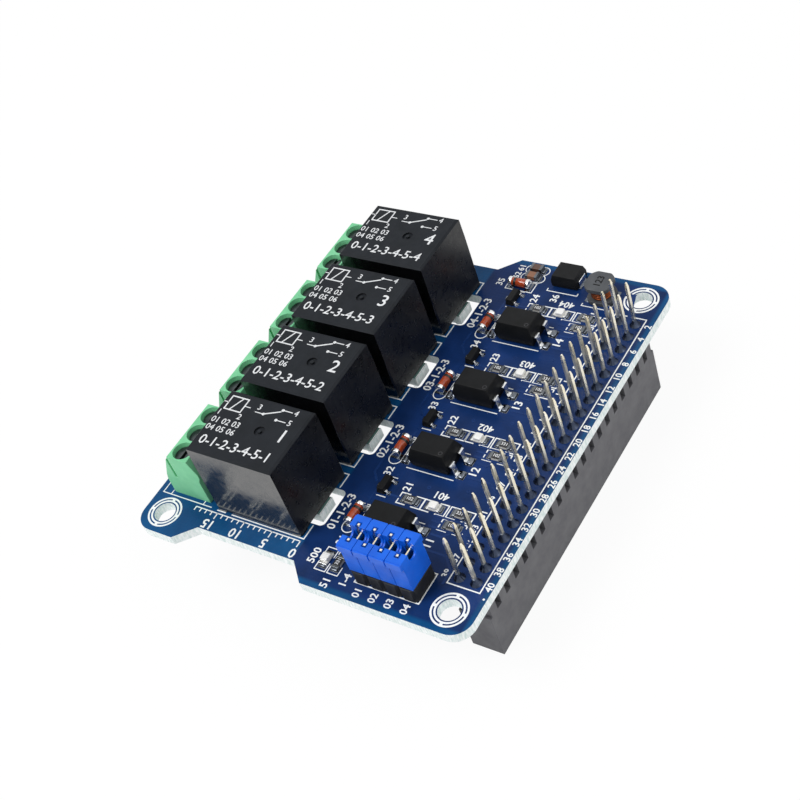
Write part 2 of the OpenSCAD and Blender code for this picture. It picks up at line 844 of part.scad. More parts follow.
module rectifier() {
    size = rectifier_body;
    body_h = size[2] - rectifier_lift;
    mid_h = tab_h - rectifier_lift;
    color("#2a2b2d") translate([rectifier_at[0], rectifier_at[1], board_t + rectifier_lift]) {
        post([size[0], size[1]], 0, mid_h);
        translate([0, 0, mid_h])
            taper([size[0], size[1]], [size[0] - 2 * rectifier_bevel, size[1] - 2 * rectifier_bevel], body_h - mid_h);
    }
}

// ---- Chips ----

// Chip along Y with a metal cap, a step proud of the body, on each end.
module chip(h) {
    post([chip_w - 2 * chip_step, chip_l - chip_cap_l], chip_step, h - 2 * chip_step);
    for (end = [-1, 1])
        translate([0, end * (chip_l - chip_cap_l) / 2, 0]) post([chip_w, chip_cap_l], 0, h);
}

module resistors() {
    color("#3a3b3d") {
        for (c = channels, at = resistors_at)
            translate([opto_x(c) + at[0], opto_y + at[1], board_t]) chip(resistor_h);
        translate([board_x1 - power_resistor_in[0], opto_y + power_resistor_in[1], board_t])
            rotate([0, 0, 90]) chip(resistor_h);
    }
}

module capacitors() {
    color("#a08468") for (at = capacitors_in)
        translate([board_x0 + at[0], opto_y + at[1], board_t]) chip(capacitor_h);
}

// Chip lamp along Y: a thin carrier with a clear, tapered lens on it.
module lamp() {
    lens_l = chip_l - 2 * chip_cap_l;
    post([chip_w, chip_l], 0, lamp_base_h);
    translate([0, 0, lamp_base_h])
        taper([chip_w, lens_l], [chip_w - 0.2, lens_l - 0.2], lamp_h - lamp_base_h);
}

module leds() {
    color("#e8e6dc") {
        for (c = channels)
            translate([opto_x(c) + lamp_at[0], opto_y + lamp_at[1], board_t]) lamp();
        translate([board_x1 - power_lamp_in[0], opto_y + power_lamp_in[1], board_t])
            rotate([0, 0, 90]) lamp();
    }
}

// ---- Inductor ----

module flange() {
    linear_extrude(flange_t) intersection() {
        circle(d = inductor_side * 1.12);
        square(inductor_side, center = true);
    }
}

module inductor_core() {
    color("#3b3d40") translate([inductor_at[0], inductor_at[1], board_t]) {
        flange();
        cylinder(d = post_d, h = inductor_h);
        translate([0, 0, inductor_h - flange_t]) flange();
    }
}

module inductor_winding() {
    room = inductor_h - 2 * flange_t;
    turns = floor(room / wire_d);
    lead_in = (room - turns * wire_d) / 2;
    color("#5a3a26") translate([inductor_at[0], inductor_at[1], board_t + flange_t]) rotate_extrude() {
        translate([post_d / 2, 0]) square([(winding_d - post_d - wire_d) / 2, room]);
        for (t = [0:turns - 1]) translate([winding_d / 2 - wire_d / 2, lead_in + (t + 0.5) * wire_d])
            circle(d = wire_d);
    }
}

// ---- Assembly ----

circuit_board();
gpio_socket();
gpio_pins();
jumper_base();
jumper_pins();
for (r = jumper_rows) {
    jumper_cap(r);
    jumper_clip(r);
}
for (c = channels) {
    terminal_housing(c);
    relay_case(c);
    for (p = [0, 1, 2]) {
        terminal_screw(c, p);
        terminal_clamp(c, p);
    }
}
terminal_contacts();
relay_bases();
relay_pins();
optocouplers();
optocoupler_leads();
transistors();
transistor_leads();
diode_bodies();
diode_terminals();
leds();
resistors();
capacitors();
rectifier();
inductor_core();
inductor_winding();
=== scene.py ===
"""Looks of a four-channel relay module board, built round its CAD frame.

Lengths are millimetres in the part's own frame until a piece is finished, when they become metres.
The board lies flat, its top face up, with the relays and wire terminals towards -Y, the pin header
towards +Y, and channel 1 at the +X end.
"""

import logging
import math
from dataclasses import dataclass, field
from enum import Enum

import bmesh
import bpy
from mathutils import Matrix, Vector


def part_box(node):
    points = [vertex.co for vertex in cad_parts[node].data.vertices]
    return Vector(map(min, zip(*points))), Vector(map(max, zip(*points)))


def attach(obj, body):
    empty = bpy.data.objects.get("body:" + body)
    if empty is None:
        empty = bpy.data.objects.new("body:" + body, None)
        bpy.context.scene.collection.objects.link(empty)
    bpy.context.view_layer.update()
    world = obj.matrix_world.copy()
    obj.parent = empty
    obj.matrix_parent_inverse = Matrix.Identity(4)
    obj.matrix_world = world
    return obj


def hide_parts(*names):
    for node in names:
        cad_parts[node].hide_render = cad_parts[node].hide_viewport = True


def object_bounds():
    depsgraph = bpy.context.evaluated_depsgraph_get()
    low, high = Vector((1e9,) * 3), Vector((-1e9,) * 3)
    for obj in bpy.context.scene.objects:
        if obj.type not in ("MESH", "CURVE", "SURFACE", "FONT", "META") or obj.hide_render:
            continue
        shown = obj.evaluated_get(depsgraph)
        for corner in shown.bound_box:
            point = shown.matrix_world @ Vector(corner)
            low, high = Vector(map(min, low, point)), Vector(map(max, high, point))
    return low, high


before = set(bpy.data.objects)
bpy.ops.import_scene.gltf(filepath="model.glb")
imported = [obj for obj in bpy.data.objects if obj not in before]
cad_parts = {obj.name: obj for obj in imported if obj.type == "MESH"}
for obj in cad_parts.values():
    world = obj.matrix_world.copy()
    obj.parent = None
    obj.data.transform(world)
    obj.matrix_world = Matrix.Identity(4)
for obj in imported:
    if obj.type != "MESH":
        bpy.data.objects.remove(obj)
CAD_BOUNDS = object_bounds()
LOG = logging.getLogger("relay_board")

MM = 0.001
WELD = 0.0005
INK_T = 0.03
FAINT_INK_T = 0.015
COPPER_T = 0.035
# How deep print, copper and solder are let into what carries them.
INK_SINK = 0.004
COPPER_SINK = 0.005
SOLDER_SINK = 0.01
CHANNELS = (1, 2, 3, 4)
POLES = ("a", "b", "c")
SIDES = (-1, 1)
LEAD_PITCH = 2.54

Point = tuple[float, float]
Point3 = tuple[float, float, float]
Socket = bpy.types.NodeSocket


class Turn(Enum):
    """Which way a printed line reads, as an angle about Z in degrees."""

    RIGHT = 0
    BACK = 180
    UP = 90
    DOWN = -90


# ---- Finishes ----


def linear(code: str) -> tuple[float, float, float, float]:
    """Turns an sRGB colour into linear light.

    Args:
        code: the colour as #rrggbb.

    Returns:
        Linear red, green, blue and an alpha of 1.
    """
    parts = [int(code[i : i + 2], 16) / 255 for i in (1, 3, 5)]
    return (*[p / 12.92 if p <= 0.04045 else ((p + 0.055) / 1.055) ** 2.4 for p in parts], 1.0)


def add_node(
    tree: bpy.types.NodeTree,
    kind: str,
    settings: dict | None = None,
    values: dict | None = None,
    links: dict | None = None,
) -> bpy.types.Node:
    """Adds one node with its settings, socket values and links.

    Args:
        tree: node tree that takes the node.
        kind: the node's type name.
        settings: attributes of the node.
        values: socket name or number to the value it holds.
        links: socket name or number to the output that feeds it.

    Returns:
        The new node.
    """
    node = tree.nodes.new(kind)
    for key, value in (settings or {}).items():
        setattr(node, key, value)
    for key, value in (values or {}).items():
        node.inputs[key].default_value = value
    for key, source in (links or {}).items():
        tree.links.new(source, node.inputs[key])
    return node


class Recipe:
    """A material in the making: its tree, the piece's own coordinates and its surface shader."""

    def __init__(self, name: str, roughness: float, metallic: float = 0.0) -> None:
        """Starts a material.

        Args:
            name: what the material is.
            roughness: the surface's mean roughness.
            metallic: 1 for bare metal.
        """
        self.material = bpy.data.materials.new(name)
        self.material.use_nodes = True
        self.tree = self.material.node_tree
        self.tree.nodes.clear()
        coordinate = add_node(self.tree, "ShaderNodeTexCoord")
        self.place = coordinate.outputs["Object"]
        self.normal = coordinate.outputs["Normal"]
        self.surface = add_node(
            self.tree, "ShaderNodeBsdfPrincipled", values={"Roughness": roughness, "Metallic": metallic}
        )
        add_node(self.tree, "ShaderNodeOutputMaterial", links={"Surface": self.surface.outputs[0]})

    def node(self, kind: str, **parts: dict) -> bpy.types.Node:
        """Adds a node to this material's tree."""
        return add_node(self.tree, kind, **parts)

    def cloud(self, size_mm: float, detail: float = 2.0, start: float = 0.3, end: float = 0.7) -> Socket:
        """Soft patches from 0 to 1."""
        return self.span(self.noise(size_mm, detail), 0, 1, start, end)

    def feed(self, socket: str, source: Socket) -> None:
        """Links an output to one of the surface's sockets."""
        self.tree.links.new(source, self.surface.inputs[socket])

    def noise(self, size_mm: float, detail: float = 2.0, stretch: Point3 = (1, 1, 1)) -> Socket:
        """Soft random pattern.

        Args:
            size_mm: width of its patches.
            detail: how many finer layers it has.
            stretch: how much denser it is along each axis.

        Returns:
            Its value, 0 to 1.
        """
        mapping = self.node("ShaderNodeMapping", values={"Scale": stretch}, links={"Vector": self.place})
        noise = self.node(
            "ShaderNodeTexNoise",
            values={"Scale": 1 / (size_mm * MM), "Detail": detail},
            links={"Vector": mapping.outputs[0]},
        )
        return noise.outputs["Fac"]

    def span(self, source: Socket, low: float, high: float, start: float = 0.3, end: float = 0.7) -> Socket:
        """Maps a pattern to a range, clamped.

        Args:
            source: the pattern.
            low: value at the start.
            high: value at the end.
            start: where in the pattern the range starts.
            end: where in the pattern it ends.

        Returns:
            The mapped value.
        """
        node = self.node(
            "ShaderNodeMapRange",
            values={"From Min": start, "From Max": end, "To Min": low, "To Max": high},
            links={"Value": source},
        )
        return node.outputs[0]

    def blend(self, factor: Socket, first: object, second: object) -> Socket:
        """Mixes two colours, each an sRGB code or an output.

        Args:
            factor: share of the second colour.
            first: the first colour.
            second: the second colour.

        Returns:
            The mixed colour.
        """
        node = self.node("ShaderNodeMix", settings={"data_type": "RGBA"}, links={0: factor})
        for socket, colour in ((6, first), (7, second)):
            if isinstance(colour, str):
                node.inputs[socket].default_value = linear(colour)
            else:
                self.tree.links.new(colour, node.inputs[socket])
        return node.outputs[2]

    def math(self, operation: str, first: object, second: object = 0.0) -> Socket:
        """One step of arithmetic.

        Args:
            operation: name of the step.
            first: a number or an output.
            second: a number or an output.

        Returns:
            The result.
        """
        node = self.node("ShaderNodeMath", settings={"operation": operation})
        for index, value in enumerate((first, second)):
            if isinstance(value, (int, float)):
                node.inputs[index].default_value = value
            else:
                self.tree.links.new(value, node.inputs[index])
        return node.outputs[0]

    def bump(self, source: Socket, depth_mm: float) -> None:
        """Lets a pattern raise the surface by a real depth."""
        node = self.node(
            "ShaderNodeBump", values={"Distance": depth_mm * MM, "Strength": 1.0}, links={"Height": source}
        )
        self.feed("Normal", node.outputs[0])


@dataclass(frozen=True)
class Plastic:
    """Moulded plastic: an even colour, a fine grain from the mould and slightly uneven gloss."""

    name: str
    colour: str
    shade: str
    roughness: float = 0.45
    grain_mm: float = 0.12
    grain_depth: float = 0.004
    specular: float = 0.5
    ior: float = 1.5

    def make(self) -> bpy.types.Material:
        """Builds the material.

        Returns:
            The new material.
        """
        recipe = Recipe(self.name, self.roughness)
        recipe.surface.inputs["IOR"].default_value = self.ior
        recipe.feed("Base Color", recipe.blend(recipe.cloud(3.0), self.colour, self.shade))
        recipe.feed("Roughness", recipe.span(recipe.noise(0.9), self.roughness - 0.06, self.roughness + 0.08))
        recipe.bump(recipe.noise(self.grain_mm, 3.0), self.grain_depth)
        recipe.surface.inputs["Specular IOR Level"].default_value = self.specular
        return recipe.material


@dataclass(frozen=True)
class Metal:
    """Plated or drawn metal: a tint, duller patches and, where it has a depth, a fine grain."""

    name: str
    colour: str
    shade: str
    roughness: float = 0.28
    grain_mm: float = 0.1
    grain_depth: float = 0.0
    patch_mm: float = 0.8

    def make(self) -> bpy.types.Material:
        """Builds the material.

        Returns:
            The new material.
        """
        recipe = Recipe(self.name, self.roughness, metallic=1.0)
        recipe.feed("Base Color", recipe.blend(recipe.cloud(self.patch_mm, 3.0), self.colour, self.shade))
        gloss = recipe.span(recipe.noise(1.5, 1.0), self.roughness - 0.05, self.roughness + 0.1)
        recipe.feed("Roughness", gloss)
        if self.grain_depth:
            recipe.bump(recipe.noise(self.grain_mm, 0.0), self.grain_depth)
        return recipe.material


@dataclass(frozen=True)
class MaskedLaminate:
    """Glass-fibre laminate with glossy blue solder mask on its faces and bare, sawn glass at its edges.

    The mask is navy over the copper plane behind the relays and brighter where the bare laminate shows
    through it: round the mains side and along the board's rim.
    """

    name: str = "solder_mask_on_laminate"
    over_copper: str = "#0d2752"
    over_copper_light: str = "#15346c"
    over_bare: str = "#0e4f82"
    over_bare_dark: str = "#0b3f6c"
    edge: str = "#fbfdfd"
    edge_dark: str = "#d3e2e0"
    specular: float = 0.12
    weave_mm: float = 0.55
    plane_y: float = -0.9
    plane_x: float = 31.6
    plane_top: float = 27.7
    fade_mm: float = 0.25
    fibre_mm: float = 0.25
    weave_depth: float = 0.004

    def make(self) -> bpy.types.Material:
        """Builds the material.

        Returns:
            The new material.
        """
        recipe = Recipe(self.name, 0.3)
        recipe.surface.inputs["Specular IOR Level"].default_value = self.specular
        axes = recipe.node("ShaderNodeSeparateXYZ", links={"Vector": recipe.place}).outputs
        side = recipe.node("ShaderNodeSeparateXYZ", links={"Vector": recipe.normal}).outputs["Z"]
        on_face = recipe.math("GREATER_THAN", recipe.math("ABSOLUTE", side), 0.5)
        fade = self.fade_mm * MM
        low, high, ends = (
            recipe.span(source, 1 - inside, inside, limit * MM - fade, limit * MM + fade)
            for source, limit, inside in (
                (axes["Y"], self.plane_y, 1),
                (axes["Y"], self.plane_top, 0),
                (recipe.math("ABSOLUTE", axes["X"]), self.plane_x, 0),
            )
        )
        plane = recipe.math("MULTIPLY", recipe.math("MULTIPLY", low, high), ends)
        cloud = recipe.cloud(5.0, 3.0)
        navy = recipe.blend(cloud, self.over_copper, self.over_copper_light)
        bright = recipe.blend(cloud, self.over_bare, self.over_bare_dark)
        mask = recipe.blend(plane, bright, navy)
        fibres = recipe.noise(self.fibre_mm, 2.0, (1, 1, 0.25))
        sawn = recipe.blend(recipe.span(fibres, 0, 1), self.edge, self.edge_dark)
        recipe.feed("Base Color", recipe.blend(on_face, sawn, mask))
        recipe.feed("Roughness", recipe.span(on_face, 0.75, 0.28, 0, 1))
        recipe.bump(self._weave(recipe), self.weave_depth)
        return recipe.material

    def _weave(self, recipe: Recipe) -> Socket:
        """Faint print-through of the glass cloth: two crossed sets of yarns.

        Args:
            recipe: the material that takes it.

        Returns:
            Its height.
        """
        # A wave texture of this scale times a width has one band in that width.
        one_band = 0.314
        bands = [
            recipe.node(
                "ShaderNodeTexWave",
                settings={"bands_direction": direction},
                values={"Scale": one_band / (self.weave_mm * MM), "Distortion": 0.4},
                links={"Vector": recipe.place},
            ).outputs["Fac"]
            for direction in ("X", "Y")
        ]
        return recipe.math("ADD", *bands)


@dataclass(frozen=True)
class Ink:
    """Printed epoxy ink: one flat colour, a little thin at places, dull."""

    name: str
    colour: str
    shade: str
    roughness: float = 0.6

    def make(self) -> bpy.types.Material:
        """Builds the material.

        Returns:
            The new material.
        """
        recipe = Recipe(self.name, self.roughness)
        recipe.feed("Base Color", recipe.blend(recipe.cloud(0.35, 3.0, 0.45, 0.8), self.colour, self.shade))
        recipe.bump(recipe.noise(0.15), 0.006)
        return recipe.material


@dataclass(frozen=True)
class Clear:
    """Glass or cast resin that lets part of the light through its tint."""

    name: str
    colour: str
    shade: str
    transmission: float
    roughness: float = 0.08
    ior: float = 1.5

    def make(self) -> bpy.types.Material:
        """Builds the material.

        Returns:
            The new material.
        """
        recipe = Recipe(self.name, self.roughness)
        recipe.feed("Base Color", recipe.blend(recipe.cloud(0.6), self.colour, self.shade))
        recipe.surface.inputs["Transmission Weight"].default_value = self.transmission
        recipe.surface.inputs["IOR"].default_value = self.ior
        recipe.bump(recipe.noise(0.3), 0.004)
        return recipe.material


class Finishes:
    """Every finish of the board, each made once."""

    # Navy mask over copper, brighter over bare laminate; the sawn edges are pale glass.
    LAMINATE = MaskedLaminate()
    # Tracks carry the same mask a shade lighter, so they only show at their edges.
    TRACK = Plastic(
        "solder_mask_on_tracks", "#17376f", "#112e60",
        roughness=0.28, grain_mm=1.0, grain_depth=0.001, specular=0.16,
    )
    # White two-part epoxy ink: flat white, matt, slightly thin in places.
    PRINT = Ink("white_epoxy_ink", "#f4f6f5", "#dbe2e6")
    # Pad print on the relays and resistors: a greyer white.
    PAD_PRINT = Ink("pad_printed_ink", "#e2e4e6", "#c3c6ca", 0.5)
    # PBT relay case, glossy walls: near black with clear reflections.
    RELAY_WALL = Plastic(
        "glossy_relay_case", "#08090b", "#060709",
        roughness=0.17, grain_mm=0.8, grain_depth=0.0006, specular=0.9, ior=1.68,
    )
    # The narrow ends of the same case: a satin copy of its plastic with hardly any reflection, so that these
    # faces show almost black as painted shade.
    RELAY_END = Plastic(
        "relay_end_painted_shade", "#0f1114", "#0b0c0f",
        roughness=0.3, grain_mm=0.8, grain_depth=0.0006, specular=0.4,
    )
    # Spark-textured top of the same case: greyer and duller.
    RELAY_TOP = Plastic(
        "spark_textured_relay_top", "#191d23", "#12161b",
        roughness=0.5, grain_mm=0.3, grain_depth=0.008, specular=0.16,
    )
    # Epoxy base plate, matt black.
    RELAY_BASE = Plastic("relay_base_plastic", "#101113", "#17181a", roughness=0.6)
    # Pale green polyamide, satin, with a cloudy hue.
    TERMINAL = Plastic(
        "green_polyamide", "#84d4a2", "#70c491",
        roughness=0.42, grain_mm=0.3, grain_depth=0.005, specular=0.35,
    )
    # Nickel-plated screws deep in their wells, their colour darkened to paint the shade in the wells, with a
    # dull grain.
    SCREW = Metal(
        "nickel_screw_painted_shade", "#5a5f61", "#3c4143",
        roughness=0.3, grain_mm=0.4, grain_depth=0.002,
    )
    # Zinc-plated clamps, duller.
    CLAMP = Metal("zinc_plated_clamp", "#a9adb0", "#84888c", roughness=0.42, grain_depth=0.002)
    # Tinned contacts and leads: pale and bright.
    TIN = Metal("tinned_contact", "#f2f3f3", "#d6d8d9", roughness=0.17, patch_mm=1.5)
    # The ends of the chip resistors and capacitors, a tin darkened to grey.
    DULL_TIN = Metal("darkened_grey_chip_end", "#83878b", "#5c6065", roughness=0.3, patch_mm=1.5)
    # Flash-gold header pins: pale champagne, smooth and half matt.
    GOLD = Metal("flash_gold_pin", "#fffaea", "#f3e8c8", roughness=0.27, patch_mm=2.0)
    # Clip of the jumper caps: the same plating on spring bronze.
    CLIP = Metal("gold_flashed_bronze", "#fff6de", "#e5d6ab", roughness=0.14, patch_mm=2.0)
    # Solder: grey, lumpy, half bright.
    SOLDER = Metal(
        "solder", "#83888f", "#50555d",
        roughness=0.18, grain_mm=0.6, grain_depth=0.006, patch_mm=0.9,
    )
    # Header solder seen between the pins, its grey painted dark and navy: painted shade among the pins and
    # painted reflection of the blue mask.
    FLUXED = Metal(
        "header_solder_painted_shade", "#4a5264", "#2f3747",
        roughness=0.26, grain_mm=0.8, grain_depth=0.01, patch_mm=1.0,
    )
    # Blue polyester caps, satin, saturated.
    CAP = Plastic(
        "blue_polyester_cap", "#0a64e0", "#0858ce",
        roughness=0.36, grain_mm=0.4, grain_depth=0.004, specular=0.35,
    )
    # Black strip below the caps.
    STRIP = Plastic("black_polyester_strip", "#141517", "#1b1c1f", roughness=0.5, specular=0.35)
    # Dark grey glass-filled body of the tall socket, dry and grainy.
    SOCKET = Plastic(
        "grey_glass_filled_socket", "#68686b", "#5c5c60",
        roughness=0.6, grain_mm=0.3, grain_depth=0.006, specular=0.3,
    )
    # Black epoxy of the chips, sanded dull.
    EPOXY = Plastic(
        "black_moulded_epoxy", "#141517", "#0e0f10",
        roughness=0.5, grain_mm=0.3, grain_depth=0.004, specular=0.16,
    )
    # Overglaze of the chip resistors.
    RESISTOR = Plastic("resistor_overglaze", "#17171a", "#202125", roughness=0.3, grain_depth=0.003)
    # Alumina that shows at the resistors' sides.
    CERAMIC = Plastic("white_alumina", "#d6d4cc", "#c2c0b7", roughness=0.55)
    # Dark and tan dielectric of the two chip capacitors.
    CAPACITOR = Plastic("tan_dielectric", "#8d6248", "#7a5440", roughness=0.4)
    CAPACITOR_DARK = Plastic("brown_dielectric", "#4a3329", "#5a4034", roughness=0.4)
    # Orange glass round the diode's slug.
    DIODE_GLASS = Clear("orange_glass", "#c8542c", "#a8401f", 0.2)
    # Black ring that marks a diode's cathode.
    BAND = Plastic("black_cathode_band", "#17130f", "#201a15", roughness=0.35)
    # Clear lens of the chip lamps and the white carrier below it.
    LENS = Clear("clear_cast_resin", "#ffffff", "#fafaf6", 0.15, roughness=0.2)
    CARRIER = Plastic("white_lamp_carrier", "#f2f1ec", "#e4e3dc", roughness=0.5)
    # Ferrite: dark grey, dry, pitted.
    FERRITE = Plastic(
        "pressed_ferrite", "#484b4f", "#383b3f",
        roughness=0.55, grain_mm=0.3, grain_depth=0.015,
    )
    # Enamelled copper wire: dark red-brown with a varnish gloss.
    WIRE = Metal("enamelled_copper", "#8a4a2c", "#5d2f1c", roughness=0.3, grain_depth=0.002)
    # Bare plated pads and via rims.
    PAD = Metal("plated_pad", "#ededea", "#cbcbc7", roughness=0.3, grain_depth=0.002, patch_mm=0.4)
    # Bare laminate with no mask, on the islands inside the slots: grey-green, dull.
    BARE = Plastic("bare_laminate", "#5f807a", "#4f706a", roughness=0.6)

    _made: dict = {}

    @classmethod
    def of(cls, finish: object) -> bpy.types.Material:
        """The finish's material, made the first time it is asked for."""
        if finish.name not in cls._made:
            cls._made[finish.name] = finish.make()
        return cls._made[finish.name]


# ---- Shapes ----


class Draft:
    """A mesh in the making, in millimetres in the part's frame."""

    def __init__(self) -> None:
        """Starts an empty mesh."""
        self.mesh = bmesh.new()
        self.bars = 0

    def _round(self, edges: list, width: float, segments: int) -> None:
        """Rounds some edges."""
        bmesh.ops.bevel(
            self.mesh, geom=edges, offset=width, segments=segments, profile=0.5,
            affect="EDGES", material=-1, clamp_overlap=True,
        )

    def box(self, low: Point3, high: Point3, bevel: float = 0.0, segments: int = 2) -> None:
        """Adds a block.

        Args:
            low: its lowest corner.
            high: its highest corner.
            bevel: width of its rounded edges.
            segments: steps in each rounded edge.
        """
        low, high = Vector(low), Vector(high)
        place = Matrix.LocRotScale((low + high) / 2, None, high - low)
        made = bmesh.ops.create_cube(self.mesh, size=1, matrix=place)["verts"]
        if bevel:
            self._round(list({edge for vert in made for edge in vert.link_edges}), bevel, segments)

    def slab(
        self, middle: Vector, half: Vector, low: float, high: float, bevel: float, segments: int = 2
    ) -> None:
        """Adds a block round a middle.

        Args:
            middle: its middle in X and Y.
            half: half its extents in X and Y.
            low: height of its underside.
            high: height of its top.
            bevel: width of its rounded edges.
            segments: steps in each rounded edge.
        """
        first, last = middle - half, middle + half
        self.box((first.x, first.y, low), (last.x, last.y, high), bevel, segments)

    def bar(self, start: Point, end: Point, width: float, z: float, height: float) -> None:
        """Adds a flat bar between two points, with its ends half a width past them.

        Each bar is a few microns thicker than the one before, so that no two faces that cross lie level.

        Args:
            start: where it starts.
            end: where it ends.
            width: its width.
            z: height of its underside.
            height: its thickness.
        """
        self.bars += 1
        extra = 0.0006 + 0.0012 * (self.bars % 5)
        start, end = Vector(start), Vector(end)
        along = end - start
        middle = (start + end) / 2
        place = Matrix.LocRotScale(
            (middle.x, middle.y, z + height / 2),
            Matrix.Rotation(math.atan2(along.y, along.x), 3, "Z"),
            (along.length + width, width, height + 2 * extra),
        )
        bmesh.ops.create_cube(self.mesh, size=1, matrix=place)

    def path(self, points: list[Point], width: float, z: float, height: float) -> None:
        """Adds bars along a row of points."""
        for start, end in zip(points, points[1:]):
            self.bar(start, end, width, z, height)

    def lathe(
        self,
        profile: list[Point],
        centre: Point3,
        axis: Point3 = (0, 0, 1),
        steps: int = 24,
        start: float = 0.0,
        sweep: float = 360.0,
    ) -> None:
        """Adds a shape turned about an axis.

        Args:
            profile: (radius, distance along the axis) of each point of its section.
            centre: where the axis starts.
            axis: direction of the axis.
            steps: faces round the axis.
            start: angle at which the section starts, in degrees.
            sweep: angle that it turns through.
        """
        full = sweep >= 360
        verts = [self.mesh.verts.new((r, 0, z)) for r, z in profile]
        edges = [self.mesh.edges.new(pair) for pair in zip(verts, verts[1:])]
        if not full or profile[0][0] > WELD or profile[-1][0] > WELD:
            edges.append(self.mesh.edges.new((verts[-1], verts[0])))
        geometry = verts + edges + ([] if full else [self.mesh.faces.new(verts)])
        to_start = Matrix.Rotation(math.radians(start), 3, "Z")
        bmesh.ops.rotate(self.mesh, verts=verts, cent=(0, 0, 0), matrix=to_start)
        known = set(self.mesh.verts) - set(verts)
        bmesh.ops.spin(
            self.mesh, geom=geometry, cent=(0, 0, 0), axis=(0, 0, 1), dvec=(0, 0, 0),
            angle=math.radians(sweep), steps=steps, use_merge=full, use_duplicate=False,
        )
        made = [vert for vert in self.mesh.verts if vert not in known]
        bmesh.ops.remove_doubles(self.mesh, verts=made, dist=WELD)
        made = [vert for vert in self.mesh.verts if vert not in known]
        faces = list({face for vert in made for face in vert.link_faces})
        bmesh.ops.recalc_face_normals(self.mesh, faces=faces)
        spin_to = Vector((0, 0, 1)).rotation_difference(Vector(axis)).to_matrix().to_4x4()
        bmesh.ops.transform(self.mesh, matrix=Matrix.Translation(centre) @ spin_to, verts=made)

    def ring(
        self, centre: Point, inner: float, outer: float, z: float, height: float,
        steps: int = 40, start: float = 0.0, sweep: float = 360.0,
    ) -> None:
        """Adds a flat ring, or a part of one with both of its ends closed.

        Args:
            centre: its middle.
            inner: its inner radius.
            outer: its outer radius.
            z: height of its underside.
            height: its thickness.
            steps: faces round it.
            start: angle at which it starts, in degrees.
            sweep: angle that it turns through.
        """
        profile = [(inner, 0), (outer, 0), (outer, height), (inner, height)]
        self.lathe(profile, (*centre, z), steps=steps, start=start, sweep=sweep)

    def disc(self, centre: Point, radius: float, z: float, height: float, steps: int) -> None:
        """Adds a flat disc."""
        place = Matrix.Translation((*centre, z + height / 2))
        bmesh.ops.create_cone(
            self.mesh, cap_ends=True, segments=steps,
            radius1=radius, radius2=radius, depth=height, matrix=place,
        )

    def digits(
        self, text: str, height: float, centre: Point, turn: Turn, z: float, thick: float,
        down: bool = False, bold: float = 0.025,
    ) -> None:
        """Adds plain figures as thin raised print.

        Args:
            text: the figures.
            height: height of a figure.
            centre: middle of the line, in X and Y.
            turn: which way the line reads.
            z: height of the surface under the print.
            thick: thickness of the print.
            down: whether the print is on an underside.
            bold: how far the strokes are widened, as a share of the height.
        """
        # A figure of the built-in font is this share of the font size high.
        figure_share = 0.7
        curve = bpy.data.curves.new("figures", "FONT")
        curve.body = text
        curve.size = height / figure_share
        curve.extrude = thick / 2
        curve.offset = height * bold
        curve.resolution_u = 2
        curve.align_x = "CENTER"
        curve.align_y = "CENTER"
        holder = bpy.data.objects.new("figures", curve)
        bpy.context.scene.collection.objects.link(holder)
        mesh = bpy.data.meshes.new_from_object(holder)
        place = Matrix.Translation((*centre, z + (-thick / 2 if down else thick / 2)))
        place @= Matrix.Rotation(math.radians(turn.value), 4, "Z")
        if down:
            place @= Matrix.Rotation(math.pi, 4, "Y")
        mesh.transform(place)
        known = set(self.mesh.verts)
        self.mesh.from_mesh(mesh)
        made = [vert for vert in self.mesh.verts if vert not in known]
        bmesh.ops.remove_doubles(self.mesh, verts=made, dist=WELD)
        bpy.data.objects.remove(holder)
        bpy.data.curves.remove(curve)
        bpy.data.meshes.remove(mesh)

    def take_node(self, node: str) -> None:
        """Fills an empty draft with a merged copy of a CAD node, with its flat faces whole.

        Args:
            node: the CAD node.
        """
        self.mesh.from_mesh(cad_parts[node].data)
        bmesh.ops.scale(self.mesh, vec=(1 / MM,) * 3, verts=self.mesh.verts[:])
        bmesh.ops.remove_doubles(self.mesh, verts=self.mesh.verts[:], dist=WELD)
        bmesh.ops.dissolve_limit(
            self.mesh, angle_limit=math.radians(0.6), verts=self.mesh.verts[:], edges=self.mesh.edges[:],
            use_dissolve_boundaries=False,
        )

    def soften(self, width: float, segments: int = 2) -> None:
        """Rounds every edge between faces that meet at more than 30 degrees.

        Args:
            width: width of the rounding.
            segments: steps in each rounded edge.
        """
        sharp = math.radians(30.0)
        edges = [edge for edge in self.mesh.edges if edge.is_manifold and edge.calc_face_angle() > sharp]
        self._round(edges, width, segments)

    def piece(
        self,
        name: str,
        finishes: list,
        body: str = "board",
        slot: str | None = None,
        stands_for: tuple = (),
        smooth: float | None = None,
        keep_normals: bool = False,
    ) -> None:
        """Turns the draft into a finished piece.

        Args:
            name: the piece's name.
            finishes: its finishes, by material number.
            body: the CAD body it rides on.
            slot: the record's material slot, if it has one; not used.
            stands_for: CAD nodes that it replaces.
            smooth: angle in degrees below which neighbouring faces shade as one.
            keep_normals: leaves the faces pointing as they do.
        """
        if not keep_normals:
            bmesh.ops.recalc_face_normals(self.mesh, faces=self.mesh.faces[:])
        bmesh.ops.scale(self.mesh, vec=(MM, MM, MM), verts=self.mesh.verts[:])
        if smooth is not None:
            for face in self.mesh.faces:
                face.smooth = True
            for edge in self.mesh.edges:
                edge.smooth = edge.is_manifold and edge.calc_face_angle() < math.radians(smooth)
        data = bpy.data.meshes.new(name)
        self.mesh.to_mesh(data)
        self.mesh.free()
        for finish in finishes:
            data.materials.append(Finishes.of(finish))
        made = bpy.data.objects.new(name, data)
        bpy.context.scene.collection.objects.link(made)
        if smooth is not None:
            weighted = made.modifiers.new("flat_faces_stay_flat", "WEIGHTED_NORMAL")
            weighted.keep_sharp = True
        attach(made, body)
        if stands_for:
            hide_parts(*stands_for)


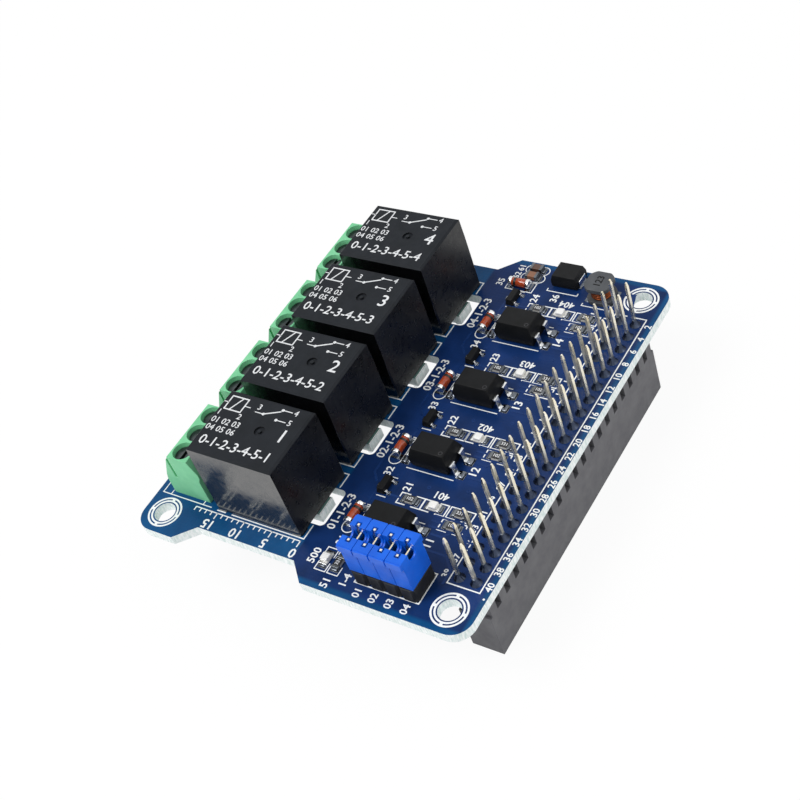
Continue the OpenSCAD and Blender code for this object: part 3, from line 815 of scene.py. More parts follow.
@dataclass(frozen=True)
class Block:
    """The box of one solid, in millimetres."""

    low: Vector
    high: Vector

    @property
    def centre(self) -> Vector:
        """Its middle."""
        return (self.low + self.high) / 2

    @property
    def size(self) -> Vector:
        """Its extents."""
        return self.high - self.low

    @property
    def upright(self) -> bool:
        """Whether it is longer along Y than along X."""
        return self.size.y > self.size.x

    @property
    def along(self) -> Vector:
        """Direction of its length."""
        return Vector((0, 1, 0)) if self.upright else Vector((1, 0, 0))

    @property
    def across(self) -> Vector:
        """Direction of its width."""
        return Vector((1, 0, 0)) if self.upright else Vector((0, 1, 0))

    @property
    def length(self) -> float:
        """Its longer extent in X and Y."""
        return max(self.size.x, self.size.y)

    @property
    def width(self) -> float:
        """Its shorter extent in X and Y."""
        return min(self.size.x, self.size.y)


def node_block(node: str) -> Block:
    """The box of a whole CAD node."""
    low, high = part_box(node)
    return Block(Vector(low) / MM, Vector(high) / MM)


def solids(node: str) -> list[Block]:
    """The boxes of a node's separate solids.

    Args:
        node: the CAD node.

    Returns:
        One block for each solid, from +X to -X and then from -Y to +Y.
    """
    draft = bmesh.new()
    draft.from_mesh(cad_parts[node].data)
    bmesh.ops.remove_doubles(draft, verts=draft.verts[:], dist=WELD * MM)
    left = set(draft.verts)
    found = []
    while left:
        queue = [left.pop()]
        island = []
        while queue:
            vert = queue.pop()
            island.append(vert.co.copy() / MM)
            for edge in vert.link_edges:
                other = edge.other_vert(vert)
                if other in left:
                    left.remove(other)
                    queue.append(other)
        low = Vector([min(point[i] for point in island) for i in range(3)])
        high = Vector([max(point[i] for point in island) for i in range(3)])
        found.append(Block(low, high))
    draft.free()
    return sorted(found, key=lambda block: (-round(block.centre.x, 2), round(block.centre.y, 2)))


def dress(node: str, finish: object) -> None:
    """Gives a CAD node its finish.

    Args:
        node: the CAD node.
        finish: its finish.
    """
    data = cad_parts[node].data
    data.materials.clear()
    data.materials.append(Finishes.of(finish))


def relay_case(channel: int) -> Block:
    """The box of one channel's relay."""
    return node_block(f"relay_case_{channel}")


def rounded_node(node: str, finish: object, width: float, slot: str, body: str = "board") -> None:
    """Shows a CAD node with its edges rounded.

    Args:
        node: the CAD node.
        finish: its finish.
        width: width of the rounding.
        slot: the record's material slot.
        body: the CAD body it rides on.
    """
    draft = Draft()
    draft.take_node(node)
    draft.soften(width)
    draft.piece(f"{node}_rounded", [finish], body, slot, (node,), smooth=50, keep_normals=True)


# ---- The board ----


@dataclass
class Board:
    """The laminate, with its copper under the mask, its vias and its bare islands."""

    board: Block = field(default_factory=lambda: node_block("circuit_board"))
    track_w: float = 0.35
    feed_track_w: float = 0.6
    wide_track_w: float = 1.6

    @property
    def top(self) -> float:
        """Height of the component side."""
        return self.board.high.z

    def build(self) -> None:
        """Dresses the laminate and adds its copper."""
        dress("circuit_board", Finishes.LAMINATE)
        self._tracks()
        self._mains_tracks()
        self._vias()
        self._islands()
        LOG.info("board: mask, tracks and vias")

    def _islands(self) -> None:
        """Unmasked laminate on the island inside each isolating slot."""
        draft = Draft()
        half, back, front = 1.64, -1.6, 0.29
        for channel in CHANNELS:
            case = relay_case(channel)
            x, edge, low = case.centre.x, case.high.y, self.top - COPPER_SINK
            draft.box((x - half, edge + back, low), (x + half, edge + front, self.top + 0.008))
        draft.piece("bare_islands", [Finishes.BARE], slot="laminate")

    def _tracks(self) -> None:
        """Signal tracks on the component side."""
        draft = Draft()
        header = node_block("gpio_pins")
        top = self.top - COPPER_SINK
        for index, opto in enumerate(solids("optocouplers")):
            x, y = opto.centre.x, opto.centre.y
            for lane in range(3):
                start = (x - 4.2 + lane * 0.9, y + 8.9 + lane * 0.5)
                bend = (start[0] + 1.6, start[1] + 1.6)
                end = (bend[0], header.low.y - 0.6)
                draft.path([(start[0], y + 4.6), start, bend, end], self.track_w, top, COPPER_T)
            # Each run as steps from the chip's middle; the last one leads to the next channel.
            runs = [
                [(-1.27, 5.6), (-1.27, 7.2), (-2.6, 8.5)],
                [(1.27, 5.6), (1.27, 9.4), (3.2, 11.2), (5.2, 11.2)],
                [(-1.27, -5.2), (-2.4, -6.0), (-5.4, -6.0)],
                [(-5.3, -1.6), (-5.3, -3.6)],
                [(-6.9, -6.9), (-8.2, -8.0), (-11.0, -8.0)],
            ]
            for run in runs if index < 3 else runs[:-1]:
                draft.path([(x + dx, y + dy) for dx, dy in run], self.track_w, top, COPPER_T)
        lamp = min(solids("leds"), key=lambda block: block.centre.x).centre
        x = self.board.low.x + 3
        feed = [(x, lamp.y + 3), (x, lamp.y + 9), (lamp.x - 1, lamp.y + 10.5)]
        draft.path(feed, self.feed_track_w, top, COPPER_T)
        draft.piece("signal_tracks", [Finishes.TRACK], slot="laminate")

    def _mains_tracks(self) -> None:
        """Wide contact tracks on the underside, from each relay's pins to its terminal block."""
        draft = Draft()
        z = self.board.low.z - COPPER_T + COPPER_SINK
        tails = solids("terminal_contacts")
        pins = [pin for pin in solids("relay_pins") if pin.size.x > 1]
        for first in range(0, len(CHANNELS) * len(POLES), len(POLES)):
            # From +X to -X, so that each tail gets the pin opposite it.
            own_tails, own_pins = (
                sorted(blocks[first : first + len(POLES)], key=lambda block: -block.centre.x)
                for blocks in (tails, pins)
            )
            for tail, pin in zip(own_tails, own_pins):
                tail_x, tail_y = tail.centre.x, tail.high.y - 0.25
                middle_y = (tail_y + min(p.centre.y for p in own_pins)) / 2
                pin_x, pin_y, _ = pin.centre
                points = [(tail_x, tail_y), (tail_x, middle_y), (pin_x, middle_y + 1.2), (pin_x, pin_y)]
                draft.path(points, self.wide_track_w, z, COPPER_T)
        draft.piece("contact_tracks", [Finishes.TRACK], slot="laminate")

    def _vias(self) -> None:
        """Mask-covered rims of small vias on both sides of the board."""
        rims = Draft()
        for opto in solids("optocouplers"):
            x, y = opto.centre.x, opto.centre.y
            for dx, dy in ((-4.7, -5.9), (-4.2, 8.9), (4.6, 1.2), (4.1, -4.2), (3.4, 6.9), (-3.9, 10.9)):
                for z in (self.board.low.z - COPPER_T, self.top):
                    rims.ring((x + dx, y + dy), 0.12, 0.3, z, COPPER_T, 12)
        rims.piece("via_rims", [Finishes.TRACK], slot="laminate")


@dataclass
class Silkscreen:
    """White print on both sides of the board: outlines, rings and plain figures."""

    line: float = 0.18
    thin: float = 0.15
    hole_x: float = 29.0
    hole_y: float = 24.5
    hole_rings: tuple[Point, ...] = ((1.86, 2.14), (2.38, 2.66))
    board: Block = field(default_factory=lambda: node_block("circuit_board"))
    draft: Draft = field(default_factory=Draft)

    def build(self) -> None:
        """Prints both sides."""
        self.z = self.board.high.z - INK_SINK
        self._hole_rings(bridged=True)
        self._header()
        self._channels()
        self._jumpers()
        self._power()
        self._scale()
        self.draft.piece("board_print", [Finishes.PRINT])
        self._underside()
        LOG.info("silkscreen: component side and underside")

    def _figures(self, text: str, height: float, centre: Point, turn: Turn = Turn.BACK) -> None:
        """Prints figures on the component side."""
        self.draft.digits(text, height, centre, turn, self.z, INK_T)

    def _path(self, points: list[Point], width: float = 0.0) -> None:
        """Prints a line."""
        self.draft.path(points, width or self.line, self.z, INK_T)

    def _frame(self, low: Point, high: Point, width: float = 0.0) -> None:
        """Prints a rectangle's outline."""
        self._path([low, (high[0], low[1]), high, (low[0], high[1]), low], width)

    def _bracket(self, along: Point, across: Point, width: float, upright: bool = False) -> None:
        """Prints three sides of a rectangle.

        Args:
            along: where it is open and where it is closed.
            across: its two sides.
            width: width of the line.
            upright: whether it opens along Y instead of X.
        """
        (gap, back), (first, last) = along, across
        points = [(gap, first), (back, first), (back, last), (gap, last)]
        self._path([point[::-1] for point in points] if upright else points, width)

    def _rails(self, x: float, half: float, low: float, high: float) -> None:
        """Prints a thin line along Y on each side of a middle."""
        for side in SIDES:
            self._path([(x + side * half, low), (x + side * half, high)], self.thin)

    def _hole_rings(self, bridged: bool) -> None:
        """Double ring round each mounting hole, with four bridges on the component side."""
        reach = (2.1, 2.42)
        for x in (-self.hole_x, self.hole_x):
            for y in (-self.hole_y, self.hole_y):
                for inner, outer in self.hole_rings:
                    self.draft.ring((x, y), inner, outer, self.z, INK_T)
                for turn in range(4 if bridged else 0):
                    angle = math.radians(90 * turn)
                    ends = [(x + r * math.cos(angle), y + r * math.sin(angle)) for r in reach]
                    self.draft.bar(*ends, 0.45, self.z, INK_T)

    def _header(self) -> None:
        """Frame of the pin header and a figure at each of its pins."""
        pins = node_block("gpio_pins")
        low = (pins.low.x - 0.75, pins.centre.y - 2.5)
        high = (pins.high.x + 0.75, pins.centre.y + 2.5)
        self._frame(low, high)
        columns = sorted({round(pin.centre.x, 2) for pin in solids("gpio_pins")}, reverse=True)
        for index, x in enumerate(columns):
            number = 2 * (len(columns) - index)
            self._figures(str(number), 1.0, (x, high[1] + 0.84))
            self._figures(str(number - 1), 0.95, (x, low[1] - 0.78))
        self.draft.disc((high[0] + 0.65, high[1] + 0.95), 0.16, self.z, INK_T, 10)

    def _channels(self) -> None:
        """Outlines and numbers of each channel's relay, terminal block and chips."""
        optos, transistors = solids("optocouplers"), solids("transistors")
        diodes = [block for block in solids("diode_bodies") if not block.upright]
        lamps = [block for block in solids("leds") if block.upright]
        resistors = [block for block in solids("resistors") if block.upright]
        for index, channel in enumerate(CHANNELS):
            self._relay(channel)
            self._terminals(channel)
            x, y, _ = optos[index].centre
            self._rails(x, 2.45, y - 3.85, y + 3.85)
            self._figures(f"1{channel}", 1.25, (x + 0.2, y + 6.05))
            x, y, _ = transistors[index].centre
            self._figures(f"2{channel}", 1.15, (x - 1.0, y + 3.2))
            self._rails(x, 1.75, y - 0.5, y + 0.9)
            self._diode(diodes[index], f"3{channel}")
            x, y, _ = lamps[index].centre
            self._figures(f"40{channel}", 1.15, (x - 2.15, y - 0.1), Turn.DOWN)
            case = relay_case(channel)
            self._figures(f"0{channel}-1-2-3", 1.3, (case.centre.x, case.high.y + 3.05))
        for block in lamps + resistors:
            self._chip(block, 0.93, 1.92, self.line)

    def _relay(self, channel: int) -> None:
        """Broken outline of a relay and a short line on the island of its isolating slot.

        Args:
            channel: the channel.
        """
        case = relay_case(channel)
        x, top = case.centre.x, case.high.y + 0.41
        half = case.size.x / 2 + 0.1
        for side in SIDES:
            edge = x + side * half
            self._path([(x + side * 3.6, top), (edge, top)])
            self._path([(edge, top), (edge, top - 12.9)])
            self._path([(edge, top - 14.2), (edge, top - 15.6)])
        self._path([(x - 1.5, top - 0.2), (x + 1.5, top - 0.2)], 0.14)

    def _terminals(self, channel: int) -> None:
        """Outline of a terminal block with ticks at its ends.

        Args:
            channel: the channel.
        """
        housing = node_block(f"terminal_housing_{channel}")
        x, half = relay_case(channel).centre.x, 5.9
        low, high = housing.low.y - 1.9, housing.low.y + 7.35
        for side in SIDES:
            edge = x + side * half
            self._path([(edge, low), (edge, high)], self.thin)
            for tick in (low + 1.5, high - 1.55):
                self._path([(edge, tick), (edge - side * 0.75, tick)], self.thin)
        self._path([(x - half, low), (x + half, low)], self.thin)

    def _diode(self, block: Block, figures: str) -> None:
        """Outline of a diode with a round +X end.

        Args:
            block: the diode.
            figures: its number.
        """
        x, y, _ = block.centre
        self._bracket((x + 1.9, x - 2.35), (y - 1.0, y + 1.0), self.thin)
        self.draft.ring((x + 1.9, y), 0.93, 1.08, self.z, INK_T, 12, -90, 180)
        self._path([(x - 2.05, y - 1.0), (x - 2.05, y + 1.0)], self.thin)
        self._figures(figures, 1.15, (x + 4.2, y + 0.3))

    def _chip(self, block: Block, half_width: float, half_length: float, width: float) -> None:
        """Outline of a chip, open at the middle of its sides.

        Args:
            block: the chip.
            half_width: half the outline's width.
            half_length: half the outline's length.
            width: width of the line.
        """
        x, y, _ = block.centre
        middle, side = (y, x) if block.upright else (x, y)
        for end in SIDES:
            along = (middle + end * 0.55, middle + end * half_length)
            self._bracket(along, (side - half_width, side + half_width), width, block.upright)

    def _jumpers(self) -> None:
        """Frame of the jumper block and the number of each row."""
        x, y, _ = node_block("jumper_base").centre
        self._frame((x - 2.49, y - 5.12), (x + 2.49, y + 5.12))
        for row, channel in enumerate(reversed(CHANNELS)):
            self._figures(f"0{channel}", 1.1, (x + 3.85, y + 3.85 - row * LEAD_PITCH))
        self._figures("1-4", 1.15, (x + 2.75, y - 6.45))

    def _power(self) -> None:
        """Outlines of the power parts at both ends of the board."""
        lamp = [block for block in solids("leds") if not block.upright][0]
        resistor = [block for block in solids("resistors") if not block.upright][0]
        for block in (lamp, resistor):
            self._chip(block, 0.88, 1.9, self.thin)
        self._figures("500", 1.2, (lamp.centre.x, lamp.centre.y - 2.05))
        self._figures("51", 1.2, (resistor.centre.x + 3.35, resistor.centre.y - 0.1))
        x, y, _ = [block for block in solids("diode_bodies") if block.upright][0].centre
        self._frame((x - 1.0, y - 2.3), (x + 1.0, y + 2.3), self.thin)
        self._figures("35", 1.1, (x - 0.1, y - 3.6))
        for index, block in enumerate(solids("capacitors")):
            x, y, _ = block.centre
            for end, start in ((1, 0), (-1, 180)):
                self._rails(x, 0.86, y + end * 0.5, y + end * 1.15)
                self.draft.ring((x, y + end * 1.15), 0.79, 0.94, self.z, INK_T, 12, start, 180)
            self._figures(f"6{2 - index}", 1.0, (x, y - 2.75))
        for node, gap, wider, figures, right, up, height in (
            ("rectifier", 0.55, 0.4, "36", 2.3, -0.5, 1.15),
            ("inductor_core", 0.0, 0.35, "71", 2.0, 0.4, 1.1),
        ):
            part = node_block(node)
            edge, across = part.high.x, (part.low.y - wider, part.high.y + wider)
            self._bracket((edge + gap, edge + gap + 0.45), across, self.thin)
            self._figures(figures, height, (edge + right, part.centre.y + up))

    def _scale(self) -> None:
        """Short graduated scale along the +X edge, marked with plain figures."""
        x, start = self.board.high.x - 6.0, -1.3
        for step in range(20):
            y = start - step
            long = 0.95 if step % 5 == 0 else 0.55
            self._path([(x, y), (x + long, y)])
        self._path([(x, start), (x, start - 19)], 0.16)
        for step in range(4):
            self._figures(str(step * 5), 1.5, (x + 2.05, start - step * 5 - 0.1 * step), Turn.DOWN)

    def _underside(self) -> None:
        """Rings, frames and figures on the underside."""
        self.draft = Draft()
        self.z = self.board.low.z - INK_T + INK_SINK
        self._hole_rings(bridged=False)
        pins = node_block("gpio_pins")
        self._frame((pins.low.x - 0.75, pins.centre.y - 2.9), (pins.high.x + 0.75, pins.centre.y + 2.9))
        x, y, _ = node_block("jumper_base").centre
        self._frame((x - 2.6, y - 5.2), (x + 2.6, y + 5.2), self.thin)
        surface = self.board.low.z + INK_SINK
        for channel in CHANNELS:
            x = relay_case(channel).centre.x
            for text, height, right, y in (
                (str(channel), 2.2, 0, 4.5),
                *((str(pole + 1), 1.3, 3.5 - 3.5 * pole, -25.9) for pole in range(len(POLES))),
            ):
                self.draft.digits(text, height, (x + right, y), Turn.RIGHT, surface, INK_T, down=True)
            self._path([(x + 6.6, -27.0), (x + 6.6, -1.5)], self.thin)
        self.draft.piece("underside_print", [Finishes.PRINT])


@dataclass
class SolderWork:
    """Solder at every pin and pads under every chip."""

    board: Block = field(default_factory=lambda: node_block("circuit_board"))

    def build(self) -> None:
        """Adds the solder of both sides."""
        self._header_joints()
        self._underside_joints()
        self._pads()
        LOG.info("solder: joints and pads")

    def _joint(
        self, draft: Draft, centre: Point, foot: float, neck: float, height: float, up: int, steps: int = 12
    ) -> None:
        """Adds one cone of solder with a hollow flank.

        Args:
            draft: the mesh that takes it.
            centre: where its pin stands.
            foot: radius at the board.
            neck: radius at its tip.
            height: its height.
            up: 1 on the component side, -1 on the underside.
            steps: faces round it.
        """
        z = self.board.high.z - SOLDER_SINK if up > 0 else self.board.low.z + SOLDER_SINK
        waist = neck + (foot - neck) * 0.38
        flank = [(foot, 0), (foot * 0.92, 0.1 * height), (waist, 0.38 * height), (neck, height)]
        draft.lathe([(0, 0), *flank, (0, height)], (*centre, z), axis=(0, 0, up), steps=steps)

    def _header_joints(self) -> None:
        """Cones round the header's pins on the component side."""
        draft = Draft()
        for pin in solids("gpio_pins"):
            self._joint(draft, pin.centre[:2], 0.86, 0.34, 1.05, 1)
        # The dark navy of this solder is painted shade among the pins and painted reflection of the blue
        # mask.
        draft.piece("header_solder", [Finishes.FLUXED], smooth=60)

    def _underside_joints(self) -> None:
        """Cones round the pins that end below the board."""
        draft = Draft()
        for pin in solids("jumper_pins"):
            self._joint(draft, pin.centre[:2], 0.85, 0.42, 1.0, -1)
        for pin in solids("relay_pins"):
            wide = 1.25 if pin.size.x > 1 else 0.95
            self._joint(draft, pin.centre[:2], wide, wide * 0.55, 1.35, -1, 16)
        for tail in solids("terminal_contacts"):
            self._joint(draft, (tail.centre.x, tail.high.y - 0.22), 1.0, 0.52, 1.1, -1, 16)
        draft.piece("underside_solder", [Finishes.SOLDER], smooth=60)

    def _pads(self) -> None:
        """Plated pads with a low bank of solder under every chip's ends and leads."""
        draft = Draft()
        z = self.board.high.z - COPPER_SINK
        for node in ("resistors", "capacitors", "leds"):
            for chip in solids(node):
                for end in SIDES:
                    for reach, length, width, height, bevel, segments in (
                        (1.0, 0.5, 0.66, 0.06, 0.03, 1),
                        (1.12, 0.22, 0.52, 0.26, 0.16, 3),
                    ):
                        middle = chip.centre + chip.along * end * reach
                        half = chip.along * length + chip.across * width
                        draft.slab(middle, half, z, z + height, bevel, segments)
        for leads, bodies, foot, grow, bank in (
            ("optocoupler_leads", "optocouplers", 1.15, 0.2, 0.42),
            ("transistor_leads", "transistors", 0.4, 0.16, 0.24),
        ):
            owners = solids(bodies)
            for lead in solids(leads):
                owner = min(owners, key=lambda block: (block.centre - lead.centre).length)
                outward = 1 if lead.centre.y > owner.centre.y else -1
                tip = lead.high.y if outward > 0 else lead.low.y
                for under, past, side, height, bevel, segments in (
                    (foot, grow, grow, 0.07, 0.03, 1),
                    (foot * 0.7, grow * 0.6, grow * 0.5, bank, bank * 0.48, 3),
                ):
                    low, high = sorted((tip - outward * under, tip + outward * past))
                    corners = (lead.low.x - side, low, z), (lead.high.x + side, high, z + height)
                    draft.box(*corners, bevel, segments)
        for tab in solids("diode_terminals"):
            grow = Vector((0.2, 0.2, 0))
            draft.slab(tab.centre, tab.size / 2 + grow, z, z + 0.09, 0.04, 1)
        core = node_block("inductor_core")
        for end in SIDES:
            middle = core.centre + Vector((0, end * (core.size.y / 2 - 0.45), 0))
            draft.slab(middle, Vector((1.6, 0.75, 0)), z, z + 0.08, 0.04, 1)
        draft.piece("solder_pads", [Finishes.SOLDER], slot="tinned_metal", smooth=40)


# ---- The large parts ----


@dataclass
class Relays:
    """Four sealed relays: glossy walls, textured top, printed contact plan."""

    edge: float = 0.12
    line: float = 0.14
    bold_line: float = 0.2
    print_t: float = 0.02
    print_sink: float = 0.003

    def build(self) -> None:
        """Rounds, dresses and prints the relays."""
        for channel in CHANNELS:
            self._case(channel)
        dress("relay_bases", Finishes.RELAY_BASE)
        dress("relay_pins", Finishes.TIN)
        LOG.info("relays: %d cases with print", len(CHANNELS))

    def _case(self, channel: int) -> None:
        """One relay's case, its top with a finish of its own, its narrow ends with a duller copy of the
        walls' finish as painted shade, and its print.

        Args:
            channel: the channel.
        """
        node = f"relay_case_{channel}"
        case = node_block(node)
        draft = Draft()
        draft.take_node(node)
        draft.soften(self.edge, 3)
        shelf = case.high.z - 0.35
        for face in draft.mesh.faces:
            on_top = face.normal.z > 0.35 and face.calc_center_median().z > shelf
            # Faces along Y, the narrow ends, take the duller copy of the wall plastic, which paints them as
            # shaded.
            face.material_index = 1 if on_top else 2 if abs(face.normal.y) > 0.7 else 0
        looks = [Finishes.RELAY_WALL, Finishes.RELAY_TOP, Finishes.RELAY_END]
        draft.piece(f"{node}_rounded", looks, "board", "relay_plastic", (node,), smooth=50, keep_normals=True)
        self._print(channel, case)

    def _print(self, channel: int, case: Block) -> None:
        """Contact plan and pin figures, read along +Y with their tops towards -X.

        Args:
            channel: the channel.
            case: the box of the relay's case.
        """
        draft = Draft()
        z, thick, bold = case.high.z - self.print_sink, self.print_t, self.bold_line
        x, y, _ = case.centre

        def at(along: float, up: float) -> Point:
            """Turns a place on the print into X and Y."""
            return (x - up, y + along)

        def line(*points: Point, width: float = self.line) -> None:
            """Prints a line."""
            draft.path([at(*point) for point in points], width, z, thick)

        def figures(text: str, height: float, along: float, up: float) -> None:
            """Prints figures."""
            draft.digits(text, height, at(along, up), Turn.UP, z, thick, bold=0.008)

        # The coil's box and stroke, the arm, and the leads and dots of the contacts.
        line((-6.3, 2.3), (-6.3, 4.7), (-3.4, 4.7), (-3.4, 2.3), (-6.3, 2.3), width=bold)
        line((-5.4, 2.3), (-4.3, 4.7), width=bold)
        line((-6.3, 3.5), (-7.0, 3.5))
        line((-3.4, 3.5), (-2.4, 3.5))
        line((-1.2, 3.1), (0.2, 3.1))
        line((0.2, 3.1), (2.5, 4.2), width=bold)
        line((2.7, 4.55), (4.3, 4.55))
        line((2.7, 2.7), (4.3, 2.7))
        for dot in ((0.2, 3.1), (2.7, 4.55), (2.7, 2.7)):
            draft.ring(at(*dot), 0.1, 0.24, z, thick, 12)
        pins = ((-6.6, 1.55), (-3.0, 1.55), (-1.0, 4.0), (5.0, 4.55), (5.0, 2.75))
        for number, place in enumerate(pins, 1):
            figures(str(number), 0.95, *place)
        figures("01 02 03", 1.0, -4.4, 0.15)
        figures("04 05 06", 1.0, -4.4, -1.25)
        figures(str(channel), 2.2, 5.35, 0.35)
        figures(f"0-1-2-3-4-5-{channel}", 1.6, -0.2, -3.5)
        draft.piece(f"relay_print_{channel}", [Finishes.PAD_PRINT])


@dataclass
class TerminalBlocks:
    """Four rising-clamp terminal blocks with three poles each."""

    edge: float = 0.12

    def build(self) -> None:
        """Rounds the housings and screws and dresses the clamps and contacts."""
        for channel in CHANNELS:
            rounded_node(f"terminal_housing_{channel}", Finishes.TERMINAL, self.edge, "terminal_plastic")
            for pole in POLES:
                screw = f"terminal_screw_{channel}{pole}"
                # The screws' finish is darkened to paint the shade deep in their wells.
                rounded_node(screw, Finishes.SCREW, 0.06, "screw_steel", screw)
                dress(f"terminal_clamp_{channel}{pole}", Finishes.CLAMP)
        dress("terminal_contacts", Finishes.TIN)
        LOG.info("terminals: housings, screws, clamps and contacts")


@dataclass
class JumperBlock:
    """Black strip with eight pins and four blue caps."""

    edge: float = 0.07
    lip_h: float = 1.25
    lip_out: float = 0.24

    def build(self) -> None:
        """Rounds the strip and the caps and dresses the metal."""
        rounded_node("jumper_base", Finishes.STRIP, 0.1, "black_plastic")
        dress("jumper_pins", Finishes.GOLD)
        for row in CHANNELS:
            rounded_node(f"jumper_cap_{row}", Finishes.CAP, self.edge, "cap_plastic", f"jumper_cap_{row}")
            dress(f"jumper_clip_{row}", Finishes.CLIP)
            self._lip(row)
        LOG.info("jumpers: strip, pins and caps")

    def _lip(self, row: int) -> None:
        """The low band along the top of a cap's two outer faces, to grip it by.

        Args:
            row: the number of the cap.
        """
        cap = node_block(f"jumper_cap_{row}")
        draft = Draft()
        for side, face in ((1, cap.high.x), (-1, cap.low.x)):
            low, high = sorted((face - side * 0.2, face + side * self.lip_out))
            bottom, top = cap.high.z - self.lip_h, cap.high.z - 0.06
            draft.box((low, cap.low.y + 0.04, bottom), (high, cap.high.y - 0.04, top), 0.05)
        draft.piece(f"jumper_cap_{row}_lip", [Finishes.CAP], f"jumper_cap_{row}", "cap_plastic", smooth=50)


@dataclass
class PinHeader:
    """Forty gilt pins over a tall grey socket."""

    edge: float = 0.09

    def build(self) -> None:
        """Dresses the pins and rounds the socket."""
        dress("gpio_pins", Finishes.GOLD)
        rounded_node("gpio_socket", Finishes.SOCKET, self.edge, "socket_plastic")
        LOG.info("header: pins and socket")


# ---- The small parts ----


@dataclass
class Optocouplers:
    """Four optocouplers on gull-wing leads."""

    def build(self) -> None:
        """Rounds the bodies and adds their marks."""
        rounded_node("optocouplers", Finishes.EPOXY, 0.09, "chip_plastic")
        rounded_node("optocoupler_leads", Finishes.TIN, 0.09, "tinned_metal")
        draft = Draft()
        for block in solids("optocouplers"):
            x, y, _ = block.centre
            draft.ring((x + 1.15, y + 2.1), 0.22, 0.34, block.high.z - INK_SINK, FAINT_INK_T, 16)
        # Laser-burnt rings only a shade lighter than the epoxy.
        draft.piece("optocoupler_marks", [Finishes.RESISTOR])
        LOG.info("optocouplers: four bodies with marks")


